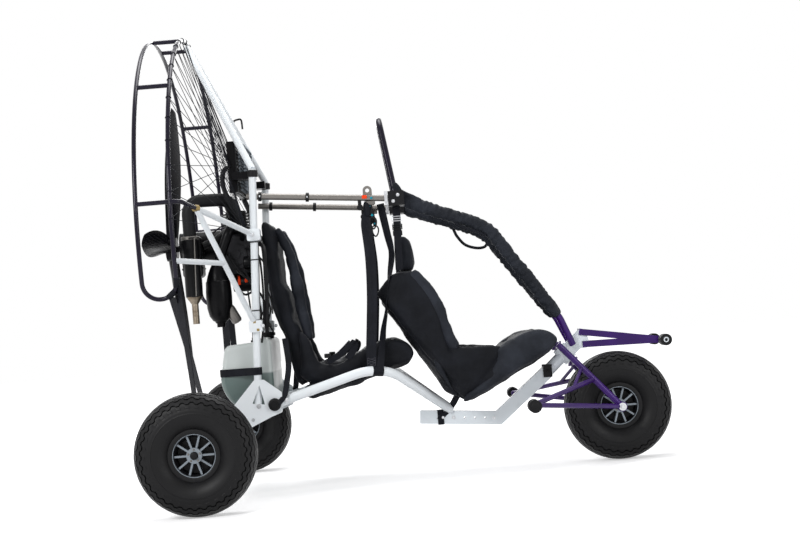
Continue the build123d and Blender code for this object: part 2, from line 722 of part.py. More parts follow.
def arm():
    """Straight arm from the mast to the shoulder block, with an eye for the wing's lines."""
    z = arm_z(EYE_STATION)
    width, thickness = EYE_PLATE
    plate = Location(at(EYE_STATION, ARM_Y, z + EYE_RISE / 2)) * Box(width, thickness, EYE_RISE)
    boss = tube([at(EYE_STATION, ARM_Y - thickness / 2, z + EYE_RISE),
                 at(EYE_STATION, ARM_Y + thickness / 2, z + EYE_RISE)], width)
    through = [at(EYE_STATION, ARM_Y + side * ARM_OD, z + EYE_RISE) for side in SIDES.values()]
    hole = tube(through, EYE_OD)
    return largest(arm_bar() + plate + boss - hole - shoulder_block(FIT))


def roll_bar():
    """Upside-down U over the passenger's head, on the two shoulder blocks."""
    station, y, z = SHOULDER
    top_station, top_z = ROLL_BAR_TOP
    points = [at(station, y, z), at(top_station, ROLL_BAR_TOP_Y, top_z),
              at(top_station, -ROLL_BAR_TOP_Y, top_z), at(station, -y, z)]
    bar = tube(points, ROLL_BAR_OD, radius=ROLL_BAR_R)
    return largest(bar - shoulder_block(FIT) - mirrored(shoulder_block(FIT)))


def front_tube(diameter):
    return tube([at(*point) for point in FRONT_TUBE_PATH], diameter, radius=FRONT_TUBE_RADII)


def front_pad():
    """Padded sleeve on the front tube, from the shoulder block down to the last bend."""
    points = [at(*point) for point in FRONT_TUBE_PATH[:3]]
    pad = tube(points, FRONT_PAD_OD, radius=FRONT_TUBE_RADII[0])
    return largest(pad - front_tube(FRONT_TUBE_OD + 2 * FIT) - shoulder_block(FIT))


def upper_frame():
    save_pair("arm", arm())
    save("shoulder_blocks", shoulder_block() + mirrored(shoulder_block()))
    save("roll_bar", roll_bar())
    save_pair("front_tube", largest(front_tube(FRONT_TUBE_OD) - shoulder_block(FIT)))
    save_pair("front_pad", front_pad())


# Seats and straps

def seat(outline, hollow):
    """Slung seat: a padded shell, hollow between its two side walls."""
    inner = SEAT_HALF_WIDTH - SEAT_WALL
    shell = slab(outline, -SEAT_HALF_WIDTH, SEAT_HALF_WIDTH)
    return fillet(shell.edges().filter_by(Axis.Y), SEAT_CORNER_R) - slab(hollow, -inner, inner)


def hang_strap():
    """Webbing from the left arm down to the bend of the left side tube."""
    width, thickness = STRAP_SIZE
    top = at(STRAP_STATION, ARM_Y, arm_z(STRAP_STATION))
    bottom = at(STRAP_STATION, SIDE_TUBE_BEND[1], SIDE_TUBE_BEND[2] - SIDE_TUBE_OD)
    place = Plane(origin=bottom, x_dir=(1, 0, 0), z_dir=top - bottom)
    strap = extrude(place * Rectangle(width, thickness), amount=(top - bottom).length)
    return largest(strap - side_tube(FIT) - arm_bar(FIT))


def seats():
    tubes = side_tube(FIT) + mirrored(side_tube(FIT))
    sling = slab(REAR_SLING_OUTLINE, -REAR_SLING_HALF_WIDTH, REAR_SLING_HALF_WIDTH)
    save("rear_seat", largest(seat(REAR_SEAT_OUTLINE, REAR_SEAT_HOLLOW) + sling - tubes))
    tail = slab(FRONT_TAIL_OUTLINE, -FRONT_TAIL_HALF_WIDTH, FRONT_TAIL_HALF_WIDTH)
    save("front_seat", largest(seat(FRONT_SEAT_OUTLINE, FRONT_SEAT_HOLLOW) + tail - tubes - keel(FIT)))
    save("front_headrest", slab(HEADREST_OUTLINE, -HEADREST_HALF_WIDTH, HEADREST_HALF_WIDTH))
    strap = hang_strap()
    save("hang_straps", strap + mirrored(strap))


# Fuel tank

def tank_outline(grow=0.0):
    """Side view of the tank, its rear lower corner one round sweep."""
    rear, bottom, belly = [at(station, 0, z) for station, z in (TANK_REAR, TANK_BOTTOM_REAR, TANK_BELLY)]
    points = [at(station, 0, z) for station, z in TANK_TOP]
    face = make_face(Polyline(rear, *points, bottom) + ThreePointArc(bottom, belly, rear))
    face = fillet(face.vertices(), TANK_CORNER_R)
    return offset(face, amount=grow, kind=Kind.ARC) if grow else face


def tank_block(grow=0.0):
    """The tank with its two ends rounded off."""
    block = extrude(tank_outline(grow), amount=TANK_HALF_WIDTH + grow, dir=(0, 1, 0), both=True)
    ends = block.faces().filter_by(Axis.Y)
    return fillet(ends.edges(), TANK_EDGE_R + grow)


def tank_strap():
    """Band round the tank with an ear to each mast."""
    height = Location(at(mast_station(TANK_STRAP_Z), 0, TANK_STRAP_Z))
    band = tank_block(TANK_STRAP_THICKNESS + FIT) - tank_block(FIT)
    band &= height * Box(TRACK, TRACK, TANK_STRAP_HEIGHT)
    for sign in SIDES.values():
        low = TANK_HALF_WIDTH + FIT + TANK_STRAP_THICKNESS / 2
        high = MAST_Y - MAST_OD / 2 - FIT
        ear = Box(TANK_EAR_LENGTH, high - low, TANK_STRAP_HEIGHT)
        band += height * Pos(0, sign * (high + low) / 2, 0) * ear
    return largest(band - mast(FIT) - mirrored(mast(FIT)))


def tank():
    save("fuel_tank", tank_block())
    save("tank_strap", tank_strap())


# Engine and propeller

def plate_front(height):
    """Station of the engine plate's face on the cross tubes."""
    return mast_station(height) - CROSS_TUBE_OD / 2 - FIT


def engine_plate(grow=0.0):
    """Plate behind the two cross tubes that carries the engine."""
    outline = []
    for height in (CLAMP_HEIGHTS["lower"] - ENGINE_PLATE_LAP, CLAMP_HEIGHTS["upper"] + ENGINE_PLATE_LAP):
        outline.append((plate_front(height) + grow, height))
    thick = ENGINE_PLATE_THICKNESS + 2 * grow
    outline += [(station - thick, height) for station, height in reversed(outline)]
    return slab(outline, -ENGINE_PLATE_HALF_WIDTH, ENGINE_PLATE_HALF_WIDTH)


def along_x(start, end, y, z, diameter):
    return tube([at(start, y, z), at(end, y, z)], diameter)


def crankcase():
    """Block bolted to the plate's rear face, with a stepped round cover on its right side."""
    rear, front = CRANKCASE_STATIONS
    low, high = CRANKCASE_Z
    face = [(plate_front(z) - ENGINE_PLATE_THICKNESS - FIT, z) for z in (low, high)]
    block = slab([(rear, low), *face, (rear, high)], -CRANKCASE_HALF_WIDTH, CRANKCASE_HALF_WIDTH)
    block = fillet(block.edges().filter_by(Axis.X), CRANKCASE_EDGE_R)
    middle = at((rear + front) / 2, -CRANKCASE_HALF_WIDTH, (low + high) / 2)
    return block + [tube([middle, middle - Vector(0, reach, 0)], diameter) for diameter, reach in COVER_STEPS]


def intake_box():
    """Ribbed air box on the right of the reduction housing."""
    rear, front = INTAKE_STATIONS
    low, high = INTAKE_Z
    box = slab(((rear, low), (front, low), (front, high), (rear, high)), *INTAKE_Y)
    box = fillet(box.edges(), INTAKE_EDGE_R)
    pitch = (high - low) / (INTAKE_RIBS + 1)
    for i in range(INTAKE_RIBS):
        z = low + pitch * (i + 1)
        start, end, top = rear - INTAKE_RIB / 2, front + INTAKE_RIB / 2, z + INTAKE_RIB
        belt = ((start, z), (end, z), (end, top), (start, top))
        rib = slab(belt, INTAKE_Y[0] - INTAKE_RIB / 2, INTAKE_Y[1])
        box += fillet(rib.edges().filter_by(Axis.Z), INTAKE_EDGE_R)
    return largest(box - along_x(GEARBOX_REAR, CRANKCASE_STATIONS[0], 0, PROP_Z, GEARBOX_OD + 2 * FIT))


def gearbox():
    """Reduction housing round the propeller shaft."""
    body = along_x(GEARBOX_REAR, CRANKCASE_STATIONS[0] - FIT, 0, PROP_Z, GEARBOX_OD)
    bore = along_x(GEARBOX_REAR - 1, GEARBOX_REAR + PROP_SHAFT_REACH, 0, PROP_Z, PROP_SHAFT_OD + 2 * RUNNING)
    return body - bore


def cylinder():
    """Finned barrel and head, standing on the crankcase."""
    low = CRANKCASE_Z[1] + FIT
    barrel = tube([at(CYLINDER_STATION, 0, low), at(CYLINDER_STATION, 0, CYLINDER_TOP)], CYLINDER_OD)
    z = low + FIN_PITCH
    while z < CYLINDER_TOP - FIN_THICKNESS:
        barrel += tube([at(CYLINDER_STATION, 0, z), at(CYLINDER_STATION, 0, z + FIN_THICKNESS)], FIN_OD)
        z += FIN_PITCH
    return barrel


def fin_barrel(grow):
    """Outer cylinder of the fins, taller than the engine."""
    foot = at(CYLINDER_STATION, 0, CRANKCASE_Z[1])
    return tube([foot, foot + Vector(0, 0, 2 * (CYLINDER_TOP - CRANKCASE_Z[1]))], FIN_OD + 2 * grow)


def exhaust_chamber():
    """Bulbous expansion chamber hung from a header pipe on the right of the cylinder."""
    station, y = CHAMBER_AXIS
    low, high = CHAMBER_Z
    neck = CHAMBER_NECK_OD / 2
    outline = Line((0, high), (neck, high))
    outline += ThreePointArc((neck, high), (CHAMBER_OD / 2, (low + high) / 2), (neck, low))
    outline += Line((neck, low), (0, low))
    outline += Line((0, low), (0, high))
    face = Plane(origin=at(station, y, 0), x_dir=(1, 0, 0), z_dir=(0, -1, 0)) * make_face(outline)
    body = revolve(face, Axis(at(station, y, 0), (0, 0, 1)))
    port = at(CYLINDER_STATION, -FIN_OD / 4, HEADER_Z)
    corner = at(CYLINDER_STATION - HEADER_LEAN, y, HEADER_Z)
    header = tube([port, corner, at(station, y, high - HEADER_LAP)], CHAMBER_NECK_OD, radius=HEADER_R)
    cap = tube([at(station, y, low - CHAMBER_CAP_LENGTH), at(station, y, low + HEADER_LAP)], CHAMBER_CAP_OD)
    return largest(body + header + cap - fin_barrel(FIT))


def silencer():
    """Can, cone and tail pipe."""
    station, y = SILENCER_AXIS
    low, high = SILENCER_Z
    r = SILENCER_OD / 2
    tail = TAILPIPE_OD / 2
    cone = low - SILENCER_CONE_SHARE * SILENCER_OD
    points = [(0, high), (r, high), (r, low), (tail, cone), (tail, TAILPIPE_Z), (0, TAILPIPE_Z)]
    outline = Polyline(*points, close=True)
    face = Plane(origin=at(station, y, 0), x_dir=(1, 0, 0), z_dir=(0, -1, 0)) * make_face(outline)
    return revolve(face, Axis(at(station, y, 0), (0, 0, 1)))


def elbow():
    """Arched hose from the engine over to the silencer."""
    hose = tube([at(*point) for point in ELBOW_PATH], ELBOW_OD, radius=ELBOW_R)
    return largest(hose - fin_barrel(FIT))


def radiator():
    """Cooler above the engine: two side tanks, a core with flat tubes and an ear to each mast."""
    low = CYLINDER_TOP + RADIATOR_RISE
    front = plate_front(low) - ENGINE_PLATE_THICKNESS - RADIATOR_GAP
    middle = Location(at(front - RADIATOR_DEPTH / 2, 0, low + RADIATOR_HEIGHT / 2))
    tank = Box(RADIATOR_DEPTH, RADIATOR_TANK_WIDTH, RADIATOR_HEIGHT)
    tank = fillet(tank.edges().filter_by(Axis.Z), RADIATOR_TANK_EDGE_R)
    tank_y = RADIATOR_HALF_WIDTH - RADIATOR_TANK_WIDTH / 2
    panel = Box(RADIATOR_CORE_DEPTH, 2 * tank_y, RADIATOR_HEIGHT)
    panel += [Pos(0, y, 0) * tank for y in (-tank_y, tank_y)]
    depth, height = RADIATOR_TUBE
    pitch = RADIATOR_HEIGHT / RADIATOR_TUBES
    rows = [-RADIATOR_HEIGHT / 2 + pitch * (i + 0.5) for i in range(RADIATOR_TUBES)]
    panel += [Pos(0, 0, z) * Box(depth, 2 * tank_y, height) for z in rows]
    thickness, ear_height = RADIATOR_EAR
    ear_z = low + RADIATOR_EAR_SHARE * RADIATOR_HEIGHT
    ear_rear = front - thickness
    ear_front = mast_station(ear_z) + thickness / 2
    bottom, top = ear_z - ear_height / 2, ear_z + ear_height / 2
    outline = ((ear_rear, bottom), (ear_front, bottom), (ear_front, top), (ear_rear, top))
    ear = slab(outline, tank_y, MAST_Y - MAST_OD / 2 - FIT)
    return middle * panel + ear + mirrored(ear)


def blade_section(share, chord, thickness, pitch):
    """Lens-shaped section of a blade that points up, at a share of the radius."""
    z = share * PROP_R
    turn = math.radians(pitch)
    place = Plane(origin=(0, 0, z), x_dir=(math.sin(turn), math.cos(turn), 0), z_dir=(0, 0, 1))
    ahead, crest = BLADE_CREST
    top = ThreePointArc((-chord / 2, 0), (chord * ahead, thickness * crest), (chord / 2, 0))
    under = ThreePointArc((chord / 2, 0), (0, thickness * (crest - 1)), (-chord / 2, 0))
    return place * make_face(top + under)


def propeller():
    """Three twisted blades on a hub, with the shaft that runs in the reduction housing."""
    blade = loft([blade_section(*row) for row in BLADE_SECTIONS])
    half = PROP_HUB_LENGTH / 2
    body = Rotation(0, 90, 0) * Cylinder(PROP_HUB_OD / 2, PROP_HUB_LENGTH)
    for i in range(BLADES):
        body += Rotation(90 + 360 / BLADES * i, 0, 0) * blade
    body = Location(at(PROP_STATION, 0, PROP_Z)) * body
    shaft_end = GEARBOX_REAR + PROP_SHAFT_REACH - FIT
    return body + along_x(PROP_STATION + half / 2, shaft_end, 0, PROP_Z, PROP_SHAFT_OD)


def engine():
    cross = cross_tube(CLAMP_HEIGHTS["lower"], FIT) + cross_tube(CLAMP_HEIGHTS["upper"], FIT)
    save("engine_plate", engine_plate() - cross)
    save("engine_crankcase", crankcase())
    save("engine_gearbox", gearbox())
    save("intake_box", intake_box())
    save("engine_cylinder", cylinder())
    save("exhaust_chamber", exhaust_chamber())
    save("silencer", silencer())
    save("silencer_elbow", elbow())
    save("radiator", radiator())
    save("propeller", propeller())


wheels()
rear_frame()
cage()
lower_frame()
front_end()
upper_frame()
seats()
tank()
engine()
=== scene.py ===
"""Looks of a two-seat paramotor trike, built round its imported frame."""
import json
import math

import bmesh
import bpy
import numpy as np
from mathutils import Matrix, Vector, noise


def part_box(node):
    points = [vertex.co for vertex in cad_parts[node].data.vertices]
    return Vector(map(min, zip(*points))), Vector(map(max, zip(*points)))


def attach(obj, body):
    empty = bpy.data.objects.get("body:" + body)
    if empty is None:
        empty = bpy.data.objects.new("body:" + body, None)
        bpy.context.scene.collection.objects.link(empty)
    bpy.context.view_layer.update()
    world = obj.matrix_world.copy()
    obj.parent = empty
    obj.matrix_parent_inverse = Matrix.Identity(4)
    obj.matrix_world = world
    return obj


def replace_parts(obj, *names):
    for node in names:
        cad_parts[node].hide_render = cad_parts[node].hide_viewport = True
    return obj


bl_info = {
    "name": "Paramotor Trike",
    "version": (1, 0, 0),
    "blender": (4, 5, 0),
    "location": "View3D > Sidebar > Trike",
    "description": "Dresses the frame of a two-seat paramotor trike",
    "category": "Object",
}

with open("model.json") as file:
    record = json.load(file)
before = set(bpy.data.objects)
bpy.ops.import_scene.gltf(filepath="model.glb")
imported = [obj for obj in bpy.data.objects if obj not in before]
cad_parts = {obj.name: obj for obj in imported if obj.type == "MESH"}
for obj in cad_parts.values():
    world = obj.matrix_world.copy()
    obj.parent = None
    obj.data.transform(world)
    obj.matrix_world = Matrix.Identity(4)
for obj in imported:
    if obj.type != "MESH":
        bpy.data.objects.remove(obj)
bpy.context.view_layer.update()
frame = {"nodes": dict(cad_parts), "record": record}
NODES = frame["nodes"]
RECORD = frame["record"]
MM = 0.001
SIDES = {"left": 1, "right": -1}
RIDES = {node: body for body, nodes in RECORD["behaviour"]["bodies"].items() for node in nodes}


def middle_of(node):
    low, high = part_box(node)
    return (low + high) / 2


REAR_AXLE_X = middle_of("rear_axle").x


def at(station, y, z):
    """Point from millimetres ahead of the rear axle, to the left and up."""
    return Vector((REAR_AXLE_X + station * MM, y * MM, z * MM))


# Sizes and colours a user would change

def colour(name, value, description):
    return bpy.props.FloatVectorProperty(name=name, description=description, default=value, size=3,
                                         min=0.0, max=1.0, subtype="COLOR")


def length(name, millimetres, description):
    return bpy.props.FloatProperty(name=name, description=description, default=millimetres * MM,
                                   unit="LENGTH", subtype="DISTANCE")


def count(name, value, description):
    return bpy.props.IntProperty(name=name, description=description, default=value, min=1)


class TrikeColours(bpy.types.PropertyGroup):
    white: colour("White coat", (0.80, 0.84, 0.87), "Powder coat of masts, braces and side tubes")
    pale: colour("Pale coat", (0.70, 0.75, 0.79), "Satin coat of the keel and steering head")
    dark: colour("Dark anodising", (0.0030, 0.0016, 0.0095), "Cage hoops and roll bar")
    violet: colour("Violet anodising", (0.028, 0.006, 0.092), "Fork, foot struts and nose bar")
    cloth: colour("Cloth", (0.0070, 0.0078, 0.0105), "Seats, headrest and tube pads")
    # The padding colour is the black cloth painted paler: painted light on the seat rolls, pads, panels,
    # headrest and tube sleeves.
    lit_cloth: colour("Padding", (0.0190, 0.0215, 0.0280), "Rolls and pads sewn on the seats")
    webbing: colour("Webbing", (0.0055, 0.0062, 0.0092), "Straps and belts")
    rubber: colour("Rubber", (0.0024, 0.0024, 0.0029), "Tyres and grips")
    tank: colour("Tank", (0.56, 0.60, 0.59), "Natural plastic of the fuel tank")
    fuel: colour("Fuel", (0.13, 0.18, 0.17), "Tank below the level of the fuel")
    rim: colour("Rim", (0.19, 0.215, 0.24), "Cast wheels")
    arm: colour("Arm", (0.17, 0.16, 0.15), "Bare tube of the arms")
    cap: colour("Cap", (0.85, 0.06, 0.01), "Bright plastic cap on the engine")
    tag: colour("Tag", (0.01, 0.24, 0.33), "Blue loops at the hang points")


class TrikeSizes(bpy.types.PropertyGroup):
    groove_depth: length("Groove depth", 5.0, "Depth of the grooves in the tread")
    groove_width: length("Groove width", 6.0, "Width of the grooves in the tread")
    tread_wave: length("Tread wave", 5.0, "How far the grooves sway to either side")
    tread_waves: count("Tread waves", 34, "Waves of a groove round a tyre")
    voxel: length("Cloth mesh", 9.0, "Mesh size of the padded pieces")
    swell: length("Swell", 13.0, "Most that a pad swells under its cover")
    net_line: length("Net line", 2.6, "Diameter of the cage's net lines")


def looks():
    return bpy.context.scene.trike_colours


def sizes():
    return bpy.context.scene.trike_sizes


# Shader maths

class Value:
    """An output socket with the arithmetic of Math nodes."""

    def __init__(self, graph, socket):
        self.graph = graph
        self.socket = socket

    def math(self, operation, *values):
        return self.graph.node("ShaderNodeMath", {"operation": operation}, dict(enumerate(values)))

    def __add__(self, other):
        return self.math("ADD", self, other)

    def __radd__(self, other):
        return self.math("ADD", other, self)

    def __sub__(self, other):
        return self.math("SUBTRACT", self, other)

    def __rsub__(self, other):
        return self.math("SUBTRACT", other, self)

    def __mul__(self, other):
        return self.math("MULTIPLY", self, other)

    def __rmul__(self, other):
        return self.math("MULTIPLY", other, self)

    def __truediv__(self, other):
        return self.math("DIVIDE", self, other)

    def above(self, low, high):
        """0 below low, 1 above high and smooth between them."""
        return self.graph.node("ShaderNodeMapRange", {"interpolation_type": "SMOOTHSTEP"},
                                {"Value": self, "From Min": low, "From Max": high})


class Graph:
    """The nodes of a material or of the world."""

    def __init__(self, tree):
        self.tree = tree

    def feed(self, node, sockets):
        for key, value in sockets.items():
            socket = node.inputs[key]
            if isinstance(value, Value):
                self.tree.links.new(value.socket, socket)
            elif socket.type == "RGBA":
                socket.default_value = (*value, 1.0) if len(value) == 3 else value
            else:
                socket.default_value = value

    def node(self, kind, settings, sockets, output=0):
        """Adds a node: its settings first, then the values or links of its sockets."""
        node = self.tree.nodes.new(kind)
        for key, value in settings.items():
            setattr(node, key, value)
        self.feed(node, sockets)
        return Value(self, node.outputs[output])

    def seen_ray(self):
        """1 for rays from the camera, reflections and glass."""
        rays = self.tree.nodes.new("ShaderNodeLightPath")
        seen = [Value(self, rays.outputs[name])
                for name in ("Is Camera Ray", "Is Glossy Ray", "Is Transmission Ray")]
        return (seen[0] + seen[1] + seen[2]).above(0.0, 1.0)


class Finish(Graph):
    """A material in the making, with its Principled shader."""

    def __init__(self, name, **constants):
        self.material = bpy.data.materials.new(name)
        self.material.use_nodes = True
        super().__init__(self.material.node_tree)
        self.shader = self.tree.nodes["Principled BSDF"]
        self.paint(**constants)
        self.coords = self.node("ShaderNodeTexCoord", {}, {}, "Object")

    def noise(self, scale, detail=3.0, vector=None, roughness=0.5):
        return self.node("ShaderNodeTexNoise", {},
                         {"Vector": vector or self.coords, "Scale": scale, "Detail": detail,
                          "Roughness": roughness})

    def stretched(self, x, y, z):
        """Object coordinates scaled along each axis."""
        return self.node("ShaderNodeVectorMath", {"operation": "MULTIPLY"}, {0: self.coords, 1: (x, y, z)})

    def height(self):
        return self.node("ShaderNodeSeparateXYZ", {}, {"Vector": self.coords}, "Z")

    def weave(self, pitch):
        """Crossed waves of a woven cloth, on faces of any direction."""
        scaled = self.stretched(*[2 * math.pi / pitch] * 3)
        waves = self.node("ShaderNodeVectorMath", {"operation": "SINE"}, {0: scaled})
        thirds = (0.33, 0.33, 0.33)
        return self.node("ShaderNodeVectorMath", {"operation": "DOT_PRODUCT"}, {0: waves, 1: thirds}, "Value")

    def blend(self, share, one, two):
        return self.node("ShaderNodeMix", {"data_type": "RGBA"}, {"Factor": share, 6: one, 7: two}, 2)

    def paint(self, **inputs):
        """Sets or links the Principled shader's sockets, named in lower case."""
        names = {socket.name.lower().replace(" ", "_"): socket.name for socket in self.shader.inputs}
        self.feed(self.shader, {names[key]: value for key, value in inputs.items()})

    def bump(self, height, strength, distance):
        sockets = {"Height": height, "Strength": strength, "Distance": distance}
        self.feed(self.shader, {"Normal": self.node("ShaderNodeBump", {}, sockets)})


def scaled(shade, factor):
    return tuple(min(1.0, part * factor) for part in shade)


# Finishes
METAL_GRAIN = (40.0, 900.0, 900.0)
CLOTH_PITCH = 0.0022
WEBBING_PITCH = 0.0031
TWILL_PITCH = 0.0045


def powder_coat(name, shade, gloss):
    """Sprayed coat with a fine orange peel and faint handling marks."""
    finish = Finish(name, roughness=gloss, coat_weight=0.25, coat_roughness=0.12)
    marks = finish.noise(14.0, 5.0).above(0.58, 0.80)
    finish.paint(base_color=finish.blend(marks * 0.35, shade, scaled(shade, 0.78)),
                 roughness=gloss + marks * 0.16)
    finish.bump(finish.noise(900.0, 1.0), 0.05, 0.001)
    return finish.material


def anodised(name, shade, gloss):
    """Dyed anodising, with a slight change of dye along the tubes and dull scuffs."""
    finish = Finish(name, metallic=0.1, coat_weight=0.03, coat_roughness=0.12, specular_ior_level=0.22)
    dye = finish.noise(6.0, 2.0).above(0.35, 0.70)
    scuffs = finish.noise(55.0, 6.0, roughness=0.7).above(0.62, 0.78)
    finish.paint(base_color=finish.blend(dye * 0.6, shade, scaled(shade, 1.7)),
                 roughness=gloss + scuffs * 0.25)
    finish.bump(finish.noise(420.0, 2.0), 0.04, 0.001)
    return finish.material


def bare_metal(name, shade, gloss):
    """Metal drawn or brushed along the grain's slow axis."""
    finish = Finish(name, metallic=0.95)
    lines = finish.noise(1.0, 4.0, finish.stretched(*METAL_GRAIN))
    stains = finish.noise(22.0, 4.0).above(0.5, 0.8)
    finish.paint(base_color=finish.blend(stains * 0.5, shade, scaled(shade, 0.62)),
                 roughness=gloss + lines * 0.22)
    finish.bump(lines, 0.08, 0.0006)
    return finish.material


def cast_metal(name, shade, gloss, metallic=0.75):
    """Sand-cast and painted metal, dusty in its hollows."""
    finish = Finish(name, metallic=metallic, specular_ior_level=0.08 + 0.4 * metallic)
    grit = finish.noise(520.0, 3.0)
    dust = finish.noise(26.0, 5.0).above(0.45, 0.75)
    finish.paint(base_color=finish.blend(dust * 0.45, shade, scaled(shade, 0.6)),
                 roughness=gloss + dust * 0.2)
    finish.bump(grit, 0.14, 0.0008)
    return finish.material


def tyre_rubber():
    """Worn rubber with pale scuffs on its crown and dusty rings."""
    shade = tuple(looks().rubber)
    finish = Finish("tyre_rubber", specular_ior_level=0.20)
    dust = finish.noise(30.0, 6.0, roughness=0.65).above(0.50, 0.78)
    grain = finish.noise(300.0, 4.0)
    finish.paint(base_color=finish.blend(dust * 0.4, shade, scaled(shade, 4.0)),
                 roughness=0.42 + dust * 0.30 + grain * 0.10)
    finish.bump(grain, 0.18, 0.0008)
    return finish.material


def moulded(name, shade, gloss):
    """Moulded rubber or plastic with a spark-eroded grain."""
    finish = Finish(name, specular_ior_level=0.15)
    grain = finish.noise(700.0, 2.0)
    wear = finish.noise(35.0, 5.0).above(0.55, 0.8)
    finish.paint(base_color=finish.blend(wear * 0.5, shade, scaled(shade, 2.2)),
                 roughness=gloss + wear * 0.15)
    finish.bump(grain, 0.10, 0.0006)
    return finish.material


def seat_cloth(name, shade):
    """Coated pack cloth: plain weave, with paler patches at random, part fading and part painted light of lit
    bolsters.
    """
    finish = Finish(name, sheen_weight=0.015, sheen_roughness=0.4, specular_ior_level=0.10)
    weave = finish.weave(CLOTH_PITCH)
    # Paler patches at random: part fading, part painted light, with their pale end set to the brightness of
    # lit bolsters.
    paler_patches = finish.noise(9.0, 4.0).above(0.35, 0.75)
    finish.paint(base_color=finish.blend(paler_patches * 0.7, scaled(shade, 0.7), scaled(shade, 1.8)),
                 roughness=0.62 + weave * 0.10)
    finish.bump(weave + finish.noise(60.0, 4.0) * 0.8, 0.22, 0.0010)
    return finish.material


def strap_webbing(name, shade):
    """Flat-woven webbing with close ribs."""
    finish = Finish(name, sheen_weight=0.010, specular_ior_level=0.10)
    ribs = finish.weave(WEBBING_PITCH)
    paler_patches = finish.noise(18.0, 3.0).above(0.4, 0.8)
    finish.paint(base_color=finish.blend(paler_patches * 0.6, shade, scaled(shade, 2.0)), roughness=0.55 + ribs * 0.15)
    finish.bump(ribs, 0.30, 0.0010)
    return finish.material


def tank_plastic():
    """Translucent tank with the fuel's level showing through its wall."""
    shades = looks()
    low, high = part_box("fuel_tank")
    finish = Finish("tank_plastic", roughness=0.34, coat_weight=0.2, subsurface_weight=0.25,
                    subsurface_radius=(0.05, 0.05, 0.05), subsurface_scale=0.05)
    level = low.z + FUEL_SHARE * (high.z - low.z)
    air = finish.height().above(level - 0.004, level + 0.006)
    cloud = finish.noise(7.0, 3.0).above(0.3, 0.75)
    wet = finish.blend(cloud * 0.6, tuple(shades.fuel), scaled(shades.fuel, 0.62))
    dry = finish.blend(cloud * 0.5, tuple(shades.tank), scaled(shades.tank, 0.84))
    finish.paint(base_color=finish.blend(air, wet, dry), roughness=0.30 + cloud * 0.12)
    finish.bump(finish.noise(240.0, 2.0), 0.05, 0.0008)
    return finish.material


def carbon_blade():
    """Clear-coated carbon cloth: a fine twill under gloss."""
    finish = Finish("carbon", coat_weight=0.04, coat_roughness=0.04, specular_ior_level=0.05)
    twill = finish.weave(TWILL_PITCH)
    threads = finish.blend(twill.above(-0.3, 0.3), (0.002, 0.002, 0.003), (0.005, 0.005, 0.007))
    finish.paint(base_color=threads, roughness=0.24 + twill * 0.05)
    return finish.material


def burnt_can():
    """Black can whose foot is bare steel, browned by heat."""
    finish = Finish("burnt_can", specular_ior_level=0.14)
    bare = 1.0 - finish.height().above(CAN_FOOT - 0.003, CAN_FOOT + 0.001)
    heat = finish.noise(30.0, 4.0).above(0.35, 0.70)
    steel = finish.blend(heat, (0.16, 0.125, 0.09), (0.27, 0.23, 0.18))
    finish.paint(base_color=finish.blend(bare, (0.0028, 0.0028, 0.0036), steel), metallic=bare * 0.9,
                 roughness=0.28 + heat * 0.14)
    finish.bump(finish.noise(520.0, 3.0), 0.08, 0.0008)
    return finish.material


def made_finishes():
    """The finish of each material slot of the record, and those of small pieces."""
    shades = looks()
    return {
        "tyre_rubber": tyre_rubber(),
        "cast_grey": cast_metal("cast_grey", tuple(shades.rim), 0.38),
        "white_paint": powder_coat("white_paint", tuple(shades.white), 0.30),
        "pale_paint": powder_coat("pale_paint", tuple(shades.pale), 0.36),
        "brass": bare_metal("brass", (0.27, 0.20, 0.085), 0.32),
        "dark_anodised": anodised("dark_anodised", tuple(shades.dark), 0.22),
        "violet_anodised": anodised("violet_anodised", tuple(shades.violet), 0.24),
        "grip_rubber": moulded("grip_rubber", (0.0060, 0.0060, 0.0070), 0.55),
        "bright_steel": bare_metal("bright_steel", (0.58, 0.59, 0.61), 0.24),
        "titanium_grey": bare_metal("titanium_grey", tuple(shades.arm), 0.30),
        "black_plastic": moulded("black_plastic", (0.0060, 0.0060, 0.0070), 0.42),
        "black_cloth": seat_cloth("black_cloth", tuple(shades.cloth)),
        # The seat cloth again, in the paler padding colour: painted light on the covers that face the lamps.
        "pad_cloth": seat_cloth("pad_cloth", tuple(shades.lit_cloth)),
        "webbing": strap_webbing("webbing", tuple(shades.webbing)),
        "tank_plastic": tank_plastic(),
        "raw_aluminium": cast_metal("raw_aluminium", (0.020, 0.020, 0.023), 0.42, 0.3),
        "black_paint": cast_metal("black_paint", (0.0028, 0.0028, 0.0036), 0.30, 0.05),
        "carbon": carbon_blade(),
        "burnt_can": burnt_can(),
        "thread": strap_webbing("thread", (0.06, 0.06, 0.07)),
        "bright_cap": moulded("bright_cap", tuple(shades.cap), 0.35),
        "tag_bit": strap_webbing("tag_bit", tuple(shades.tag)),
        "cap_bit": moulded("cap_bit", tuple(shades.cap), 0.35),
        "arm_bit": strap_webbing("arm_bit", tuple(shades.arm)),
    }


FINISHES = {}


def finish_of(name):
    if not FINISHES:
        FINISHES.update(made_finishes())
    return FINISHES[name]


# Mesh making
COLLAR_EDGE = 0.001


def turned(steps):
    return [2 * math.pi * step / steps for step in range(steps)]


def frames_along(path):
    """Two directions across a path at each of its points, with no twist."""
    path = [Vector(point) for point in path]
    runs = [(b - a).normalized() for a, b in zip(path, path[1:])]
    tangents = [runs[0]] + [(a + b).normalized() for a, b in zip(runs, runs[1:])] + [runs[-1]]
    helper = Vector((0, 1, 0)) if abs(tangents[0].y) < 0.8 else Vector((0, 0, 1))
    across = tangents[0].cross(helper).normalized()
    result = []
    for tangent in tangents:
        across = (across - tangent * across.dot(tangent)).normalized()
        result.append((across, tangent.cross(across)))
    return result


